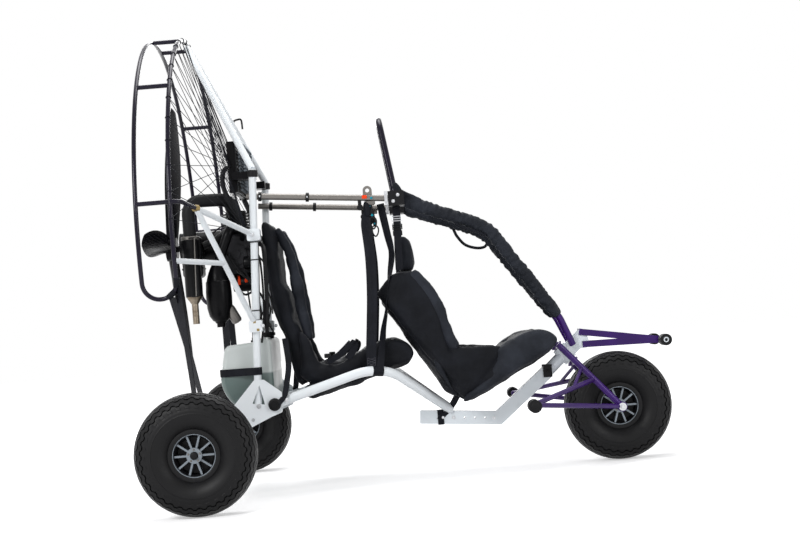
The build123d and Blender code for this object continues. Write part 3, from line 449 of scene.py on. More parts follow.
def smooth_path(points, steps=8):
    """Points of a smooth line through hand-set points."""
    points = [Vector(point) for point in points]
    ends = [points[0] * 2 - points[1]] + points + [points[-1] * 2 - points[-2]]
    line = []
    for a, b, c, d in zip(ends, ends[1:], ends[2:], ends[3:]):
        for step in range(steps):
            t = step / steps
            line.append(0.5 * (2 * b + (c - a) * t + (2 * a - 5 * b + 4 * c - d) * t * t
                               + (3 * b - a - 3 * c + d) * t ** 3))
    line.append(points[-1])
    return line


def route(places, sign, steps):
    """Smooth line through places in millimetres, mirrored to the right where the sign is -1."""
    return smooth_path([at(x, sign * y, z) for x, y, z in places], steps)


class Shape:
    """Vertices and faces gathered for one piece."""

    def __init__(self):
        self.points = []
        self.faces = []

    def grid(self, rows, around=False, capped=False):
        """Quads between rows of points; a row closes on itself if it goes around."""
        first = len(self.points)
        width = len(rows[0])
        for row in rows:
            self.points.extend(row)
        for i in range(len(rows) - 1):
            for j in range(width if around else width - 1):
                a = first + i * width + j
                b = first + i * width + (j + 1) % width
                self.faces.append((a, b, b + width, a + width))
        if capped:
            last = first + (len(rows) - 1) * width
            self.faces.append(tuple(first + j for j in reversed(range(width))))
            self.faces.append(tuple(last + j for j in range(width)))

    def tube(self, path, radius, sides=10):
        """Round bar along points, of one radius or one for each point."""
        radii = radius if isinstance(radius, list) else [radius] * len(path)
        rows = []
        for point, (across, up), r in zip(path, frames_along(path), radii):
            rows.append([Vector(point) + (across * math.cos(t) + up * math.sin(t)) * r
                         for t in turned(sides)])
        self.grid(rows, around=True, capped=True)

    def ribbon(self, path, across, width, thickness):
        """Flat strip along points; its direction across and width are single or one for each point."""
        sides = across if isinstance(across, list) else [across] * len(path)
        widths = width if isinstance(width, list) else [width] * len(path)
        path = [Vector(point) for point in path]
        runs = [(b - a).normalized() for a, b in zip(path, path[1:])]
        tangents = [runs[0]] + [(a + b).normalized() for a, b in zip(runs, runs[1:])] + [runs[-1]]
        rows = []
        for point, tangent, side, wide in zip(path, tangents, sides, widths):
            side = (Vector(side) - tangent * tangent.dot(Vector(side))).normalized()
            up = tangent.cross(side) * thickness / 2
            half = side * wide / 2
            rows.append([point - half - up, point + half - up, point + half + up, point - half + up])
        self.grid(rows, around=True, capped=True)

    def lathe(self, place, axis, profile, steps=24):
        """Turned body: the profile is radius and distance along the axis."""
        axis = Vector(axis).normalized()
        side = axis.orthogonal().normalized()
        up = axis.cross(side)
        rows = []
        for radius, along in profile:
            rows.append([Vector(place) + axis * along + (side * math.cos(t) + up * math.sin(t)) * radius
                         for t in turned(steps)])
        self.grid(rows, around=True, capped=True)

    def collar(self, place, axis, radius, rise, reach, steps):
        """Band that stands up round a bar, from a place along the axis."""
        top = radius + rise
        profile = [(radius, 0), (top, COLLAR_EDGE), (top, reach - COLLAR_EDGE), (radius, reach)]
        self.lathe(place, axis, profile, steps)

    def block(self, place, size):
        """Box about a place, along the frame's axes."""
        half = Vector(size) / 2
        rows = [[Vector(place) + Vector((a * half.x, b * half.y, level * half.z))
                 for a, b in ((-1, -1), (1, -1), (1, 1), (-1, 1))] for level in (-1, 1)]
        self.grid(rows, around=True, capped=True)

    def bolt(self, place, axis, size):
        """Washer and hexagon head, standing along the axis."""
        axis = Vector(axis).normalized()
        self.lathe(place, axis, [(size * 1.15, 0), (size * 1.15, size * 0.2), (size * 0.6, size * 0.2)], 20)
        crown = [(size * 0.9, size * 0.2), (size * 0.9, size * 0.85), (size * 0.75, size), (size * 0.2, size)]
        self.lathe(place, axis, crown, 6)

    def ring(self, place, axis, radius, thickness, steps=28, sides=8):
        """Round ring about an axis."""
        axis = Vector(axis).normalized()
        side = axis.orthogonal().normalized()
        up = axis.cross(side)
        rows = []
        for t in turned(steps) + [0.0]:
            out = side * math.cos(t) + up * math.sin(t)
            rows.append([Vector(place) + out * radius + (out * math.cos(u) + axis * math.sin(u)) * thickness
                         for u in turned(sides)])
        self.grid(rows, around=True)

    def slab(self, outline, low, high):
        """Closed plate from a side outline of points, between two distances to the left."""
        rows = [[at(station, y, z) for station, z in outline] for y in (low, high)]
        self.grid(rows, around=True, capped=True)

    def piece(self, name, slot, body="frame", sharp=35.0, bevel=0.0, finish=None):
        """The object made of this shape, riding on a body."""
        mesh = bpy.data.meshes.new(name)
        mesh.from_pydata(self.points, [], self.faces)
        build = bmesh.new()
        build.from_mesh(mesh)
        bmesh.ops.remove_doubles(build, verts=build.verts, dist=1e-6)
        bmesh.ops.recalc_face_normals(build, faces=build.faces)
        build.to_mesh(mesh)
        build.free()
        mesh.shade_smooth()
        mesh.set_sharp_from_angle(angle=math.radians(sharp))
        return place_piece(name, mesh, slot, body, bevel, finish)


def place_piece(name, mesh, slot, body="frame", bevel=0.0, finish=None):
    thing = bpy.data.objects.new(name, mesh)
    bpy.context.scene.collection.objects.link(thing)
    mesh.materials.clear()
    mesh.materials.append(finish or finish_of(slot))
    if bevel:
        edge = thing.modifiers.new("edge", "BEVEL")
        edge.width = bevel
        edge.segments = 2
        edge.limit_method = "ANGLE"
    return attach(thing, body)


def touched(node, start, run):
    """Where a line from a place first meets a node of the frame."""
    thing = NODES[node]
    back = thing.matrix_world.inverted()
    hit, place, _, _ = thing.ray_cast(back @ start, back.to_3x3() @ Vector(run))
    if not hit:
        raise RuntimeError(f"{node} isn't met from {tuple(start)}")
    return thing.matrix_world @ place


# Padded pieces

def remeshed(mesh, voxel):
    """The closed mesh made again of even faces, with its edges eased."""
    thing = bpy.data.objects.new("remesh", mesh)
    bpy.context.scene.collection.objects.link(thing)
    step = thing.modifiers.new("remesh", "REMESH")
    step.mode = "VOXEL"
    step.voxel_size = voxel
    graph = bpy.context.evaluated_depsgraph_get()
    even = bpy.data.meshes.new_from_object(thing.evaluated_get(graph))
    bpy.data.objects.remove(thing)
    build = bmesh.new()
    build.from_mesh(even)
    for _ in range(6):
        bmesh.ops.smooth_vert(build, verts=build.verts, factor=0.5, use_axis_x=True, use_axis_y=True,
                              use_axis_z=True)
    build.to_mesh(even)
    build.free()
    return even


def coordinates(mesh):
    flat = np.zeros(len(mesh.vertices) * 3)
    mesh.vertices.foreach_get("co", flat)
    return flat.reshape(-1, 3)


def swollen(meshes, cap, pressure=4.0):
    """Blows up closed covers as cloth, each point moved by at most the cap."""
    scene = bpy.context.scene
    covers = []
    for mesh in meshes:
        cover = bpy.data.objects.new("cover", mesh)
        scene.collection.objects.link(cover)
        cloth = cover.modifiers.new("cloth", "CLOTH")
        cloth.settings.use_pressure = True
        cloth.settings.uniform_pressure_force = pressure
        cloth.settings.effector_weights.gravity = 0.0
        cloth.point_cache.frame_start = 1
        cloth.point_cache.frame_end = CLOTH_FRAMES
        covers.append(cover)
    for number in range(1, CLOTH_FRAMES + 1):
        scene.frame_set(number)
    graph = bpy.context.evaluated_depsgraph_get()
    for cover, mesh in zip(covers, meshes):
        rest = coordinates(mesh)
        moved = coordinates(cover.evaluated_get(graph).data) - rest
        reach = np.linalg.norm(moved, axis=1, keepdims=True)
        share = np.minimum(1.0, cap / np.maximum(reach, 1e-9))
        mesh.vertices.foreach_set("co", (rest + moved * share).ravel())
        mesh.update()
        bpy.data.objects.remove(cover)
    scene.frame_set(1)


def normals_of(mesh):
    flat = np.zeros(len(mesh.vertices) * 3)
    mesh.vertices.foreach_get("normal", flat)
    return flat.reshape(-1, 3)


def creased(mesh, line, depth, width):
    """Draws the cover in along a sewn line."""
    points = coordinates(mesh)
    nearest = np.full(len(points), 1e9)
    for a, b in zip(line, line[1:]):
        a, run = np.array(a), np.array(b) - np.array(a)
        share = np.clip(((points - a) @ run) / max(run @ run, 1e-12), 0, 1)
        nearest = np.minimum(nearest, np.linalg.norm(points - a - share[:, None] * run, axis=1))
    pull = depth * np.exp(-(nearest / width) ** 2)
    mesh.vertices.foreach_set("co", (points - normals_of(mesh) * pull[:, None]).ravel())
    mesh.update()


def wrinkled(mesh, depth, scale, stretch=(1.0, 1.0, 1.0), seed=0.0):
    """Soft folds of a slack cover."""
    points = coordinates(mesh)
    shift = np.array([seed, seed * 2, seed * 3])
    places = points * scale * np.array(stretch) + shift
    folds = np.array([noise.fractal(Vector(place), 1.0, 2.0, 3) for place in places])
    mesh.vertices.foreach_set("co", (points + normals_of(mesh) * (folds * depth)[:, None]).ravel())
    mesh.update()


def closed_mesh(shape):
    mesh = bpy.data.meshes.new("cover")
    mesh.from_pydata(shape.points, [], shape.faces)
    build = bmesh.new()
    build.from_mesh(mesh)
    bmesh.ops.triangulate(build, faces=[face for face in build.faces if len(face.verts) > 4])
    bmesh.ops.recalc_face_normals(build, faces=build.faces)
    build.to_mesh(mesh)
    build.free()
    return mesh


def pad_piece(name, mesh, finish="black_cloth"):
    mesh.shade_smooth()
    thing = place_piece(name, mesh, "black_cloth", finish=finish_of(finish))
    finer = thing.modifiers.new("finer", "SUBSURF")
    finer.levels = 1
    finer.render_levels = 1
    return thing


# Values that the operators share
CLOTH_FRAMES = 20
FUEL_SHARE = 0.50
CAN_FOOT = 0.806
NODE_FINISH = {"silencer": "burnt_can"}


# Operators

class TRIKE_OT_finishes(bpy.types.Operator):
    """Gives each piece of the frame the finish of its material slot"""
    bl_idname = "trike.finishes"
    bl_label = "Frame finishes"

    def execute(self, context):
        for row in RECORD["subparts"]:
            thing = NODES[row["node"]]
            thing.data.materials.clear()
            thing.data.materials.append(finish_of(NODE_FINISH.get(row["node"], row["material_slot"])))
            thing.data.shade_smooth()
            thing.data.set_sharp_from_angle(angle=math.radians(32))
        return {"FINISHED"}


# Tyres: the profile is two arcs a side, from the crown to the bead
TYRE_SHOULDER = (0.0160, 0.37)
TYRE_BELLY_SHARE = 0.46
TYRE_BEAD = (0.0891, 0.0477)
TYRE_INNER_R = 0.0803
RIM_SEAT_R = 0.080
TREAD_GROOVES = (0.015, 0.043, 0.068, 0.090)
TREAD_END = 0.104
RIB_PLACE = 0.128
TYRE_LIP = ((0.0965, 0.0540), (0.0940, 0.0580), (0.0890, 0.0592), (0.0800, 0.0590), (0.0775, 0.0575),
            (0.0775, 0.0562), (0.0890, 0.0562))
LIP_STEPS = 96
SIDEWALL_ROWS = 14


def arc_through(a, b, c):
    """Centre, radius, start angle and turn of the arc from a by b to c in a plane."""
    (ax, ay), (bx, by), (cx, cy) = a, b, c
    d = 2 * (ax * (by - cy) + bx * (cy - ay) + cx * (ay - by))
    aa, bb, cc = ax ** 2 + ay ** 2, bx ** 2 + by ** 2, cx ** 2 + cy ** 2
    ux = (aa * (by - cy) + bb * (cy - ay) + cc * (ay - by)) / d
    uy = (aa * (cx - bx) + bb * (ax - cx) + cc * (bx - ax)) / d
    start = math.atan2(ay - uy, ax - ux)
    end = math.atan2(cy - uy, cx - ux)
    turn = (end - start + math.pi) % (2 * math.pi) - math.pi
    return (ux, uy), math.hypot(ax - ux, ay - uy), start, turn


class TyreProfile:
    """Half of a tyre's section, as distance from the axle and from the middle plane along its length."""

    def __init__(self, radius, half_width):
        inset, share = TYRE_SHOULDER
        shoulder = (radius - inset, 2 * half_width * share)
        belly = (RIM_SEAT_R + TYRE_BELLY_SHARE * (radius - RIM_SEAT_R), half_width)
        self.arcs = [arc_through((shoulder[0], -shoulder[1]), (radius, 0.0), shoulder),
                     arc_through(shoulder, belly, TYRE_BEAD)]
        self.crown = abs(self.arcs[0][3]) * self.arcs[0][1] / 2
        self.wall = abs(self.arcs[1][3]) * self.arcs[1][1]

    def point(self, along):
        """Radius, distance to the side and outward direction at a length from the crown."""
        if along <= self.crown:
            (x, y), r, start, turn = self.arcs[0]
            angle = start + turn * (0.5 + 0.5 * along / self.crown)
        else:
            (x, y), r, start, turn = self.arcs[1]
            angle = start + turn * min(1.0, (along - self.crown) / self.wall)
        out = (math.cos(angle), math.sin(angle))
        return x + r * out[0], y + r * out[1], out


def tread_rows(profile, depth, width):
    """Lengths from the crown with the depth cut there and how far the tread sways there."""
    rows = [(0.0, 0.0, 1.0)]
    for place in TREAD_GROOVES:
        half = width / 2
        rows += [(place - half, 0.0, 1.0), (place - half * 0.55, depth, 1.0),
                 (place + half * 0.55, depth, 1.0), (place + half, 0.0, 1.0)]
    rows.append((TREAD_END, 0.0, 0.6))
    rows.append((TREAD_END + 0.004, 0.0018, 0.0))
    end = profile.crown + profile.wall
    for step in range(1, SIDEWALL_ROWS + 1):
        rows.append((TREAD_END + 0.004 + (end - TREAD_END - 0.004) * step / SIDEWALL_ROWS, 0.0, 0.0))
    rib = [(RIB_PLACE - 0.003, 0.0, 0.0), (RIB_PLACE, -0.0014, 0.0), (RIB_PLACE + 0.003, 0.0, 0.0)]
    return sorted(rows + rib)


class TRIKE_OT_tyres(bpy.types.Operator):
    """Makes the tyres with their swaying grooves"""
    bl_idname = "trike.tyres"
    bl_label = "Tyres"

    def execute(self, context):
        choice = sizes()
        for node in ("front_tyre", "rear_tyre_left", "rear_tyre_right"):
            low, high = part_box(node)
            centre = (low + high) / 2
            profile = TyreProfile((high.z - low.z) / 2, (high.y - low.y) / 2)
            half = tread_rows(profile, choice.groove_depth, choice.groove_width)
            section = [(-a, d, s) for a, d, s in reversed(half[1:])] + half
            waves = choice.tread_waves
            steps = waves * 8
            rows = [[] for _ in section]
            for step in range(steps):
                turn = 2 * math.pi * step / steps
                sway = choice.tread_wave * math.sin(turn * waves)
                sway += 0.25 * choice.tread_wave * math.sin(3 * turn * waves)
                for row, (along, depth, share) in zip(rows, section):
                    sign = 1 if along >= 0 else -1
                    r, y, out = profile.point(abs(along + sway * share))
                    row.append(self.spun(centre, turn, r - depth * out[0], sign * (y - depth * out[1])))
            shape = Shape()
            inner = [[self.spun(centre, 2 * math.pi * step / steps, TYRE_INNER_R, side * TYRE_BEAD[1])
                      for step in range(steps)] for side in (-1, 1)]
            shape.grid([inner[0]] + rows + [inner[1], inner[0]], around=True)
            for side in (1, -1):
                lip = [[self.spun(centre, turn, r, side * y) for turn in turned(LIP_STEPS)]
                       for r, y in TYRE_LIP]
                shape.grid(lip + lip[:1], around=True)
            tyre = shape.piece(f"{node}_treaded", "tyre_rubber", RIDES[node], sharp=38)
            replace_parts(tyre, node)
        return {"FINISHED"}

    @staticmethod
    def spun(centre, turn, radius, side):
        return centre + Vector((radius * math.cos(turn), side, radius * math.sin(turn)))


RIM_BOLTS = 5
HUB_FACE = 0.050
# Black dish inside each wheel, behind its ribs: partly the wheel's own dark backing, partly painted shade in
# the wheel's hollow.
DISH_AND_SHADE = ((0.0280, 0.0052), (0.0280, 0.0085), (0.0645, 0.0085), (0.0700, 0.0400), (0.0735, 0.0480),
        (0.0735, 0.0400), (0.0664, 0.0052))


class TRIKE_OT_rims(bpy.types.Operator):
    """Adds hub caps, bolts and valves to the wheels"""
    bl_idname = "trike.rims"
    bl_label = "Wheel fittings"

    def execute(self, context):
        for node, outs in (("front_rim", (1, -1)), ("rear_rim_left", (1,)), ("rear_rim_right", (-1,))):
            centre = middle_of(node)
            steel = Shape()
            rubber = Shape()
            # The black dish is partly painted shade inside the wheel.
            dish_and_shade = Shape()
            for out in (1, -1):
                dish_and_shade.lathe(centre, (0, out, 0), DISH_AND_SHADE, 48)
            for out in outs:
                axis = Vector((0, out, 0))
                for turn in turned(RIM_BOLTS):
                    arm = Vector((math.cos(turn + 0.31), 0, math.sin(turn + 0.31)))
                    steel.bolt(centre + arm * 0.0215 + axis * HUB_FACE, axis, 0.0034)
                if node != "front_rim":
                    cap = [(0.0145, 0), (0.0145, 0.004), (0.012, 0.009), (0.007, 0.011), (0.002, 0.0115)]
                    rubber.lathe(centre + axis * HUB_FACE, axis, cap, 28)
                valve = centre + Vector((0.053, out * 0.008, 0.030))
                rubber.tube([valve, valve + axis * 0.024 - Vector((0.004, 0, 0.002))], [0.005, 0.0038], 10)
            body = RIDES[node]
            dish_and_shade.piece(f"{node}_dish", "black_plastic", body)
            steel.piece(f"{node}_bolts", "titanium_grey", body)
            rubber.piece(f"{node}_valve", "grip_rubber", body)
        return {"FINISHED"}


# Seats: side outlines as station and height, and how far they reach to the sides
REAR_BACK = ((248, 1096), (276, 1096), (288, 1020), (291, 930), (293, 836), (320, 796), (334, 690),
             (358, 620), (402, 500), (386, 420), (354, 398), (342, 440), (334, 500), (312, 610), (288, 672),
             (268, 747), (259, 834), (251, 925))
REAR_PAN = ((362, 368), (430, 376), (645, 436), (812, 484), (826, 512), (800, 548), (744, 564), (694, 560),
            (610, 530), (520, 502), (470, 500), (404, 478))
REAR_WING = ((346, 634), (372, 618), (404, 560), (434, 520), (463, 505), (517, 503), (600, 526), (660, 540),
             (640, 448), (420, 400), (348, 450))
REAR_SLING = ((354, 390), (368, 364), (628, 430), (638, 446), (354, 402))
REAR_STRAP = ((296, 1056), (322, 1008), (343, 954), (356, 882), (362, 816), (372, 744), (379, 683),
              (388, 630), (396, 596))
FRONT_BACK = ((764, 850), (840, 850), (900, 660), (930, 500), (985, 392), (985, 300), (960, 318), (780, 610),
              (694, 756))
FRONT_PAN = ((968, 318), (1003, 292), (1157, 370), (1307, 450), (1384, 492), (1396, 522), (1330, 556),
             (1250, 536), (985, 398))
FRONT_WING = ((662, 757), (698, 794), (732, 834), (838, 848), (890, 768), (944, 662), (986, 534), (1108, 510),
              (1176, 498), (1160, 376), (1003, 294), (968, 320), (884, 452), (800, 557), (722, 676))
FRONT_THIGH = ((1150, 498), (1181, 511), (1246, 552), (1315, 564), (1376, 547), (1402, 516), (1380, 490),
               (1285, 438), (1118, 354), (996, 293), (1002, 320), (1078, 364), (1134, 442))
FRONT_PANEL = ((826, 710), (851, 684), (890, 622), (914, 545), (934, 512), (934, 424), (962, 344),
               (956, 332), (906, 412), (868, 523), (842, 630))
FRONT_ROLL = ((830, 838), (864, 786), (898, 735), (926, 676), (946, 606), (962, 546), (984, 508))
FRONT_CREASES = (((1176, 500), (1125, 425), (1058, 356), (1004, 305)), ((946, 600), (962, 520), (968, 420),
                 (966, 330)))
HEADREST = ((780, 842), (844, 842), (836, 920), (829, 958), (818, 986), (802, 990), (784, 982))
# Covers that take the paler padding cloth, which paints light on them.
LIT_SEWN_ON = ("roll", "thigh", "shoulder", "pad", "panel")
REAR_BACK_SEAMS = ((410, 560), (356, 690), (335.2, 820), (314.4, 950))
REAR_PAN_SEAMS = ((500, 512), (590, 538), (680, 556))
FRONT_BACK_SEAMS = ((920.2, 520), (896.2, 620), (872.2, 720))
FRONT_PAN_SEAMS = ((1040, 452), (1120, 498), (1200, 540))
SEAM_HALF = 150
SEAM_WIDTH = 0.016
FOLD_SCALE = 11.0
FOLD_STRETCH = (1.0, 0.6, 1.4)
SEAT_HALF = 205
WING_IN = 168
SLING_HALF = 258


class SeatMaker:
    """Gathers the covers of one seat, swells them together and sews them."""

    def __init__(self, name):
        self.name = name
        self.covers = []

    def slab(self, part, outline, low, high):
        shape = Shape()
        shape.slab(outline, low, high)
        self.covers.append((part, remeshed(closed_mesh(shape), sizes().voxel)))

    def roll(self, part, path, radius):
        shape = Shape()
        radii = [radius * (0.72 if i in (0, len(path) - 1) else 1.0) for i in range(len(path))]
        shape.tube(path, radii, 14)
        self.covers.append((part, remeshed(closed_mesh(shape), sizes().voxel)))

    def strip(self, part, path, width, thickness):
        shape = Shape()
        shape.ribbon(path, Vector((0, 1, 0)), width, thickness)
        self.covers.append((part, remeshed(closed_mesh(shape), sizes().voxel * 0.7)))

    def swell(self, cap):
        swollen([mesh for _, mesh in self.covers], cap)

    def mesh(self, part):
        return dict(self.covers)[part]

    def sew(self, part, places, depth):
        """Seams across a cover, at stations and heights."""
        for station, z in places:
            ends = [at(station, y, z) for y in (-SEAM_HALF, SEAM_HALF)]
            creased(self.mesh(part), ends, depth, SEAM_WIDTH)

    def fold(self, depth, seed):
        for part, mesh in self.covers:
            wrinkled(mesh, depth, FOLD_SCALE, FOLD_STRETCH, seed=len(part) + seed)

    def pieces(self):
        return {part: pad_piece(f"{self.name}_{part}", mesh,
                                "pad_cloth" if part.split("_")[0] in LIT_SEWN_ON else "black_cloth")
                for part, mesh in self.covers}


def side_line(points, y):
    return [at(station, y, z) for station, z in points]


class TRIKE_OT_rear_seat(bpy.types.Operator):
    """Makes the rear seat: back, pan, wings and shoulder straps"""
    bl_idname = "trike.rear_seat"
    bl_label = "Rear seat"

    def execute(self, context):
        seat = SeatMaker("rear_seat")
        seat.slab("back", REAR_BACK, -SEAT_HALF + 8, SEAT_HALF - 8)
        seat.slab("pan", REAR_PAN, -SEAT_HALF, SEAT_HALF)
        for side, sign in SIDES.items():
            low, high = sorted((sign * WING_IN, sign * (SEAT_HALF + 4)))
            seat.slab(f"wing_{side}", REAR_WING, low, high)
            path = smooth_path(side_line(REAR_STRAP, sign * 120), 6)
            seat.strip(f"shoulder_{side}", path, 0.058, 0.026)
        seat.slab("sling", REAR_SLING, -SLING_HALF, SLING_HALF)
        seat.swell(sizes().swell)
        seat.sew("back", REAR_BACK_SEAMS, 0.009)
        seat.sew("pan", REAR_PAN_SEAMS, 0.009)
        seat.fold(0.005, 0)
        made = seat.pieces()
        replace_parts(made["back"], "rear_seat")
        return {"FINISHED"}


class TRIKE_OT_front_seat(bpy.types.Operator):
    """Makes the front seat: back, pan, wings, thigh pads and edge rolls"""
    bl_idname = "trike.front_seat"
    bl_label = "Front seat"

    def execute(self, context):
        seat = SeatMaker("front_seat")
        seat.slab("back", FRONT_BACK, -SEAT_HALF + 14, SEAT_HALF - 14)
        seat.slab("pan", FRONT_PAN, -SEAT_HALF + 10, SEAT_HALF - 10)
        for side, sign in SIDES.items():
            low, high = sorted((sign * WING_IN, sign * SEAT_HALF))
            seat.slab(f"wing_{side}", FRONT_WING, low, high)
            low, high = sorted((sign * (WING_IN - 40), sign * (SEAT_HALF + 6)))
            seat.slab(f"thigh_{side}", FRONT_THIGH, low, high)
            low, high = sorted((sign * (WING_IN + 20), sign * (SEAT_HALF + 4)))
            seat.slab(f"panel_{side}", FRONT_PANEL, low, high)
            seat.roll(f"roll_{side}", smooth_path(side_line(FRONT_ROLL, sign * 188), 5), 0.027)
        seat.swell(sizes().swell)
        seat.sew("pan", FRONT_PAN_SEAMS, 0.008)
        seat.sew("back", FRONT_BACK_SEAMS, 0.009)
        for side, sign in SIDES.items():
            for line in FRONT_CREASES:
                creased(seat.mesh(f"wing_{side}"), side_line(line, sign * (SEAT_HALF + 6)), 0.010, 0.013)
        seat.fold(0.006, 5)
        made = seat.pieces()
        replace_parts(made["back"], "front_seat")
        head = SeatMaker("headrest")
        head.slab("pad", HEADREST, -112, 112)
        head.swell(0.008)
        for y in (-38, 38):
            creased(head.mesh("pad"), [at(844, y, 850), at(838, y, 975)], 0.007, 0.012)
        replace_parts(head.pieces()["pad"], "front_headrest")
        return {"FINISHED"}


# Sleeves on the front tubes
SLEEVE_STEPS = 230
SLEEVE_SIDES = 28
SLEEVE_R = 0.0262
SLEEVE_CUFF_R = 0.0165
SLEEVE_GATHER = 0.0066
SLEEVE_SLACK = 0.0026
SLEEVE_SEAM = 0.0045
SLEEVE_FOLDS = 58
SLEEVE_WAVES = 11
SLEEVE_TAPER = 22
SLEEVE_ROUTE = ((824, 210.5, 1118.6), (960, 191.5, 1065.8), (1096, 172.5, 1012.8), (1145, 164, 985),
                (1182, 154, 945), (1260, 128.4, 832.4), (1340, 101.9, 716.5), (1412, 78, 612))
SLEEVE_WEDGE = ((776, 1158), (781, 1196), (797, 1200), (822, 1164), (900, 1118), (868, 1096), (826, 1106))
GRAB_LOOPS = {
    "left": ((1023, 184, 1024), (1030, 190, 1004), (1041, 192, 980), (1070, 190, 944), (1113, 184, 926),
             (1150, 176, 926), (1168, 170, 944)),
    "right": ((1018, 190, 1024), (1032, 198, 1006), (1063, 198, 988), (1110, 190, 972), (1134, 182, 958),
              (1140, 176, 968)),
}


class TRIKE_OT_front_pads(bpy.types.Operator):
    """Makes the gathered cloth sleeves of the front tubes"""
    bl_idname = "trike.front_pads"
    bl_label = "Tube sleeves"

    def execute(self, context):
        for side, sign in SIDES.items():
            path = self.even(route(SLEEVE_ROUTE, sign, 10), SLEEVE_STEPS)
            rows = []
            for i, (point, (a, b)) in enumerate(zip(path, frames_along(path))):
                share = i / (SLEEVE_STEPS - 1)
                end = min(1.0, min(share, 1 - share) * SLEEVE_TAPER)
                row = []
                for t in turned(SLEEVE_SIDES):
                    x, y = math.cos(t), math.sin(t)
                    fold = noise.noise(Vector((share * SLEEVE_FOLDS + sign * 7, x * 0.9, y * 0.9)))
                    slow = noise.noise(Vector((share * SLEEVE_WAVES, x * 1.4 + sign * 3, y * 1.4)))
                    seam = math.exp(-((math.cos(t + 1.9) - 1) * 30) ** 2) * -SLEEVE_SEAM
                    r = SLEEVE_R + fold * SLEEVE_GATHER + slow * SLEEVE_SLACK + seam
                    row.append(point + (a * x + b * y) * (SLEEVE_CUFF_R + (r - SLEEVE_CUFF_R) * end ** 0.4))
                rows.append(row)
            shape = Shape()
            shape.grid(rows, around=True, capped=True)
            mesh = closed_mesh(shape)
            swollen([mesh], 0.004, 1.2)
            # The sleeve takes the paler padding cloth: painted light on its gathers.
            sleeve = pad_piece(f"front_sleeve_{side}", mesh, "pad_cloth")
            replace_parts(sleeve, f"front_pad_{side}")
            self.wedge(side, sign)
            handle = Shape()
            handle.tube(route(GRAB_LOOPS[side], sign, 6), 0.0062, 12)
            handle.piece(f"grab_handle_{side}", "webbing")
        return {"FINISHED"}

    @staticmethod
    def wedge(side, sign):
        """The sleeve's tongue that laps up the foot of the roll bar."""
        shape = Shape()
        shape.slab(SLEEVE_WEDGE, *sorted((sign * 200, sign * 230)))
        mesh = remeshed(closed_mesh(shape), 0.005)
        wrinkled(mesh, 0.004, 26.0, seed=sign + 4)
        # Paler padding cloth on the tongue too: painted light.
        pad_piece(f"sleeve_tongue_{side}", mesh, "pad_cloth")

    @staticmethod
    def even(path, count):
        """The path's points at even distances."""
        lengths = [0.0]
        for a, b in zip(path, path[1:]):
            lengths.append(lengths[-1] + (b - a).length)
        wanted = np.linspace(0, lengths[-1], count)
        columns = [np.interp(wanted, lengths, [point[k] for point in path]) for k in range(3)]
        return [Vector(point) for point in zip(*columns)]


# Straps, as station, distance to the left and height; those of one side are mirrored
HANG_STRAP = ((674, 258, 1124), (668, 258, 1076), (664, 258, 1033), (671, 258, 904), (666, 257.5, 761),
              (655, 257, 639), (645, 256.5, 540), (641.5, 256.5, 472.5))
HANG_WIDTHS = (0.018, 0.026, 0.040, 0.042, 0.042, 0.042, 0.042, 0.040)
HANG_KNOT = ((0.009, 0.0), (0.014, 0.012), (0.017, 0.028), (0.013, 0.046), (0.011, 0.058))
TUBE_WRAP = ((662, 250, 451), (0.935, -0.336, -0.11), 0.019, 0.044)
SECOND_STRAP = ((727, 214, 1116), (744, 206, 1007), (756, 200, 925), (742, 196, 846), (732, 196, 793),
                (715, 204, 687), (696, 222, 608), (685, 244, 529), (677, 262, 478), (671, 269, 446))
CAGE_STRAPS = (  # top, direction of the bow there, foot
    ((-25.3, 826.5, 844.3), (0.094, 0.2, 0.976), (0, 700, 222.5)),
    ((-47.7, 818, 802.9), (0.77, 0.128, 0.624), (0, 330, 222.5)),
)
CAGE_STRAP_WIDTH = 0.037
CAGE_STRAP_BOW = 0.004
CAGE_R = 0.0085
BEAM_R = 0.020
BEAM_WRAP = 0.038
BOW_WRAP = 0.036
WRAP_RISE = 0.0028
LAP_BELT = (((466, 204, 500), (486, 206, 512), (508, 208, 522), (540, 210, 548), (566, 211, 572)),
            ((566, 211, 572), (580, 212, 562), (572, 211, 540), (546, 209, 508)))
BELT_CLIP = (467, 207, 526)
SEAT_STRAP = ((790, 212, 1102), (789, 209, 1055), (787, 205, 990), (784, 199, 920), (782, 192, 846))
TAIL_STRAP = ((984, 44, 326), (958, 38, 284), (934, 33, 258), (910, 30.5, 238), (894, 30.5, 222))
KEEL_LOOP = (902, 232.4, 29.0)
GUSSET_REEL = (250, 307.4, 354)
REEL_PROFILE = ((0.020, 0), (0.025, 0.002), (0.025, 0.014), (0.020, 0.017), (0.012, 0.017), (0.012, 0.021),
                (0.003, 0.021))
SEAT_TIE = ((302, 208, 610), (311, 238, 511), (302, 272, 440), (290, 306, 386), (262, 324, 352))


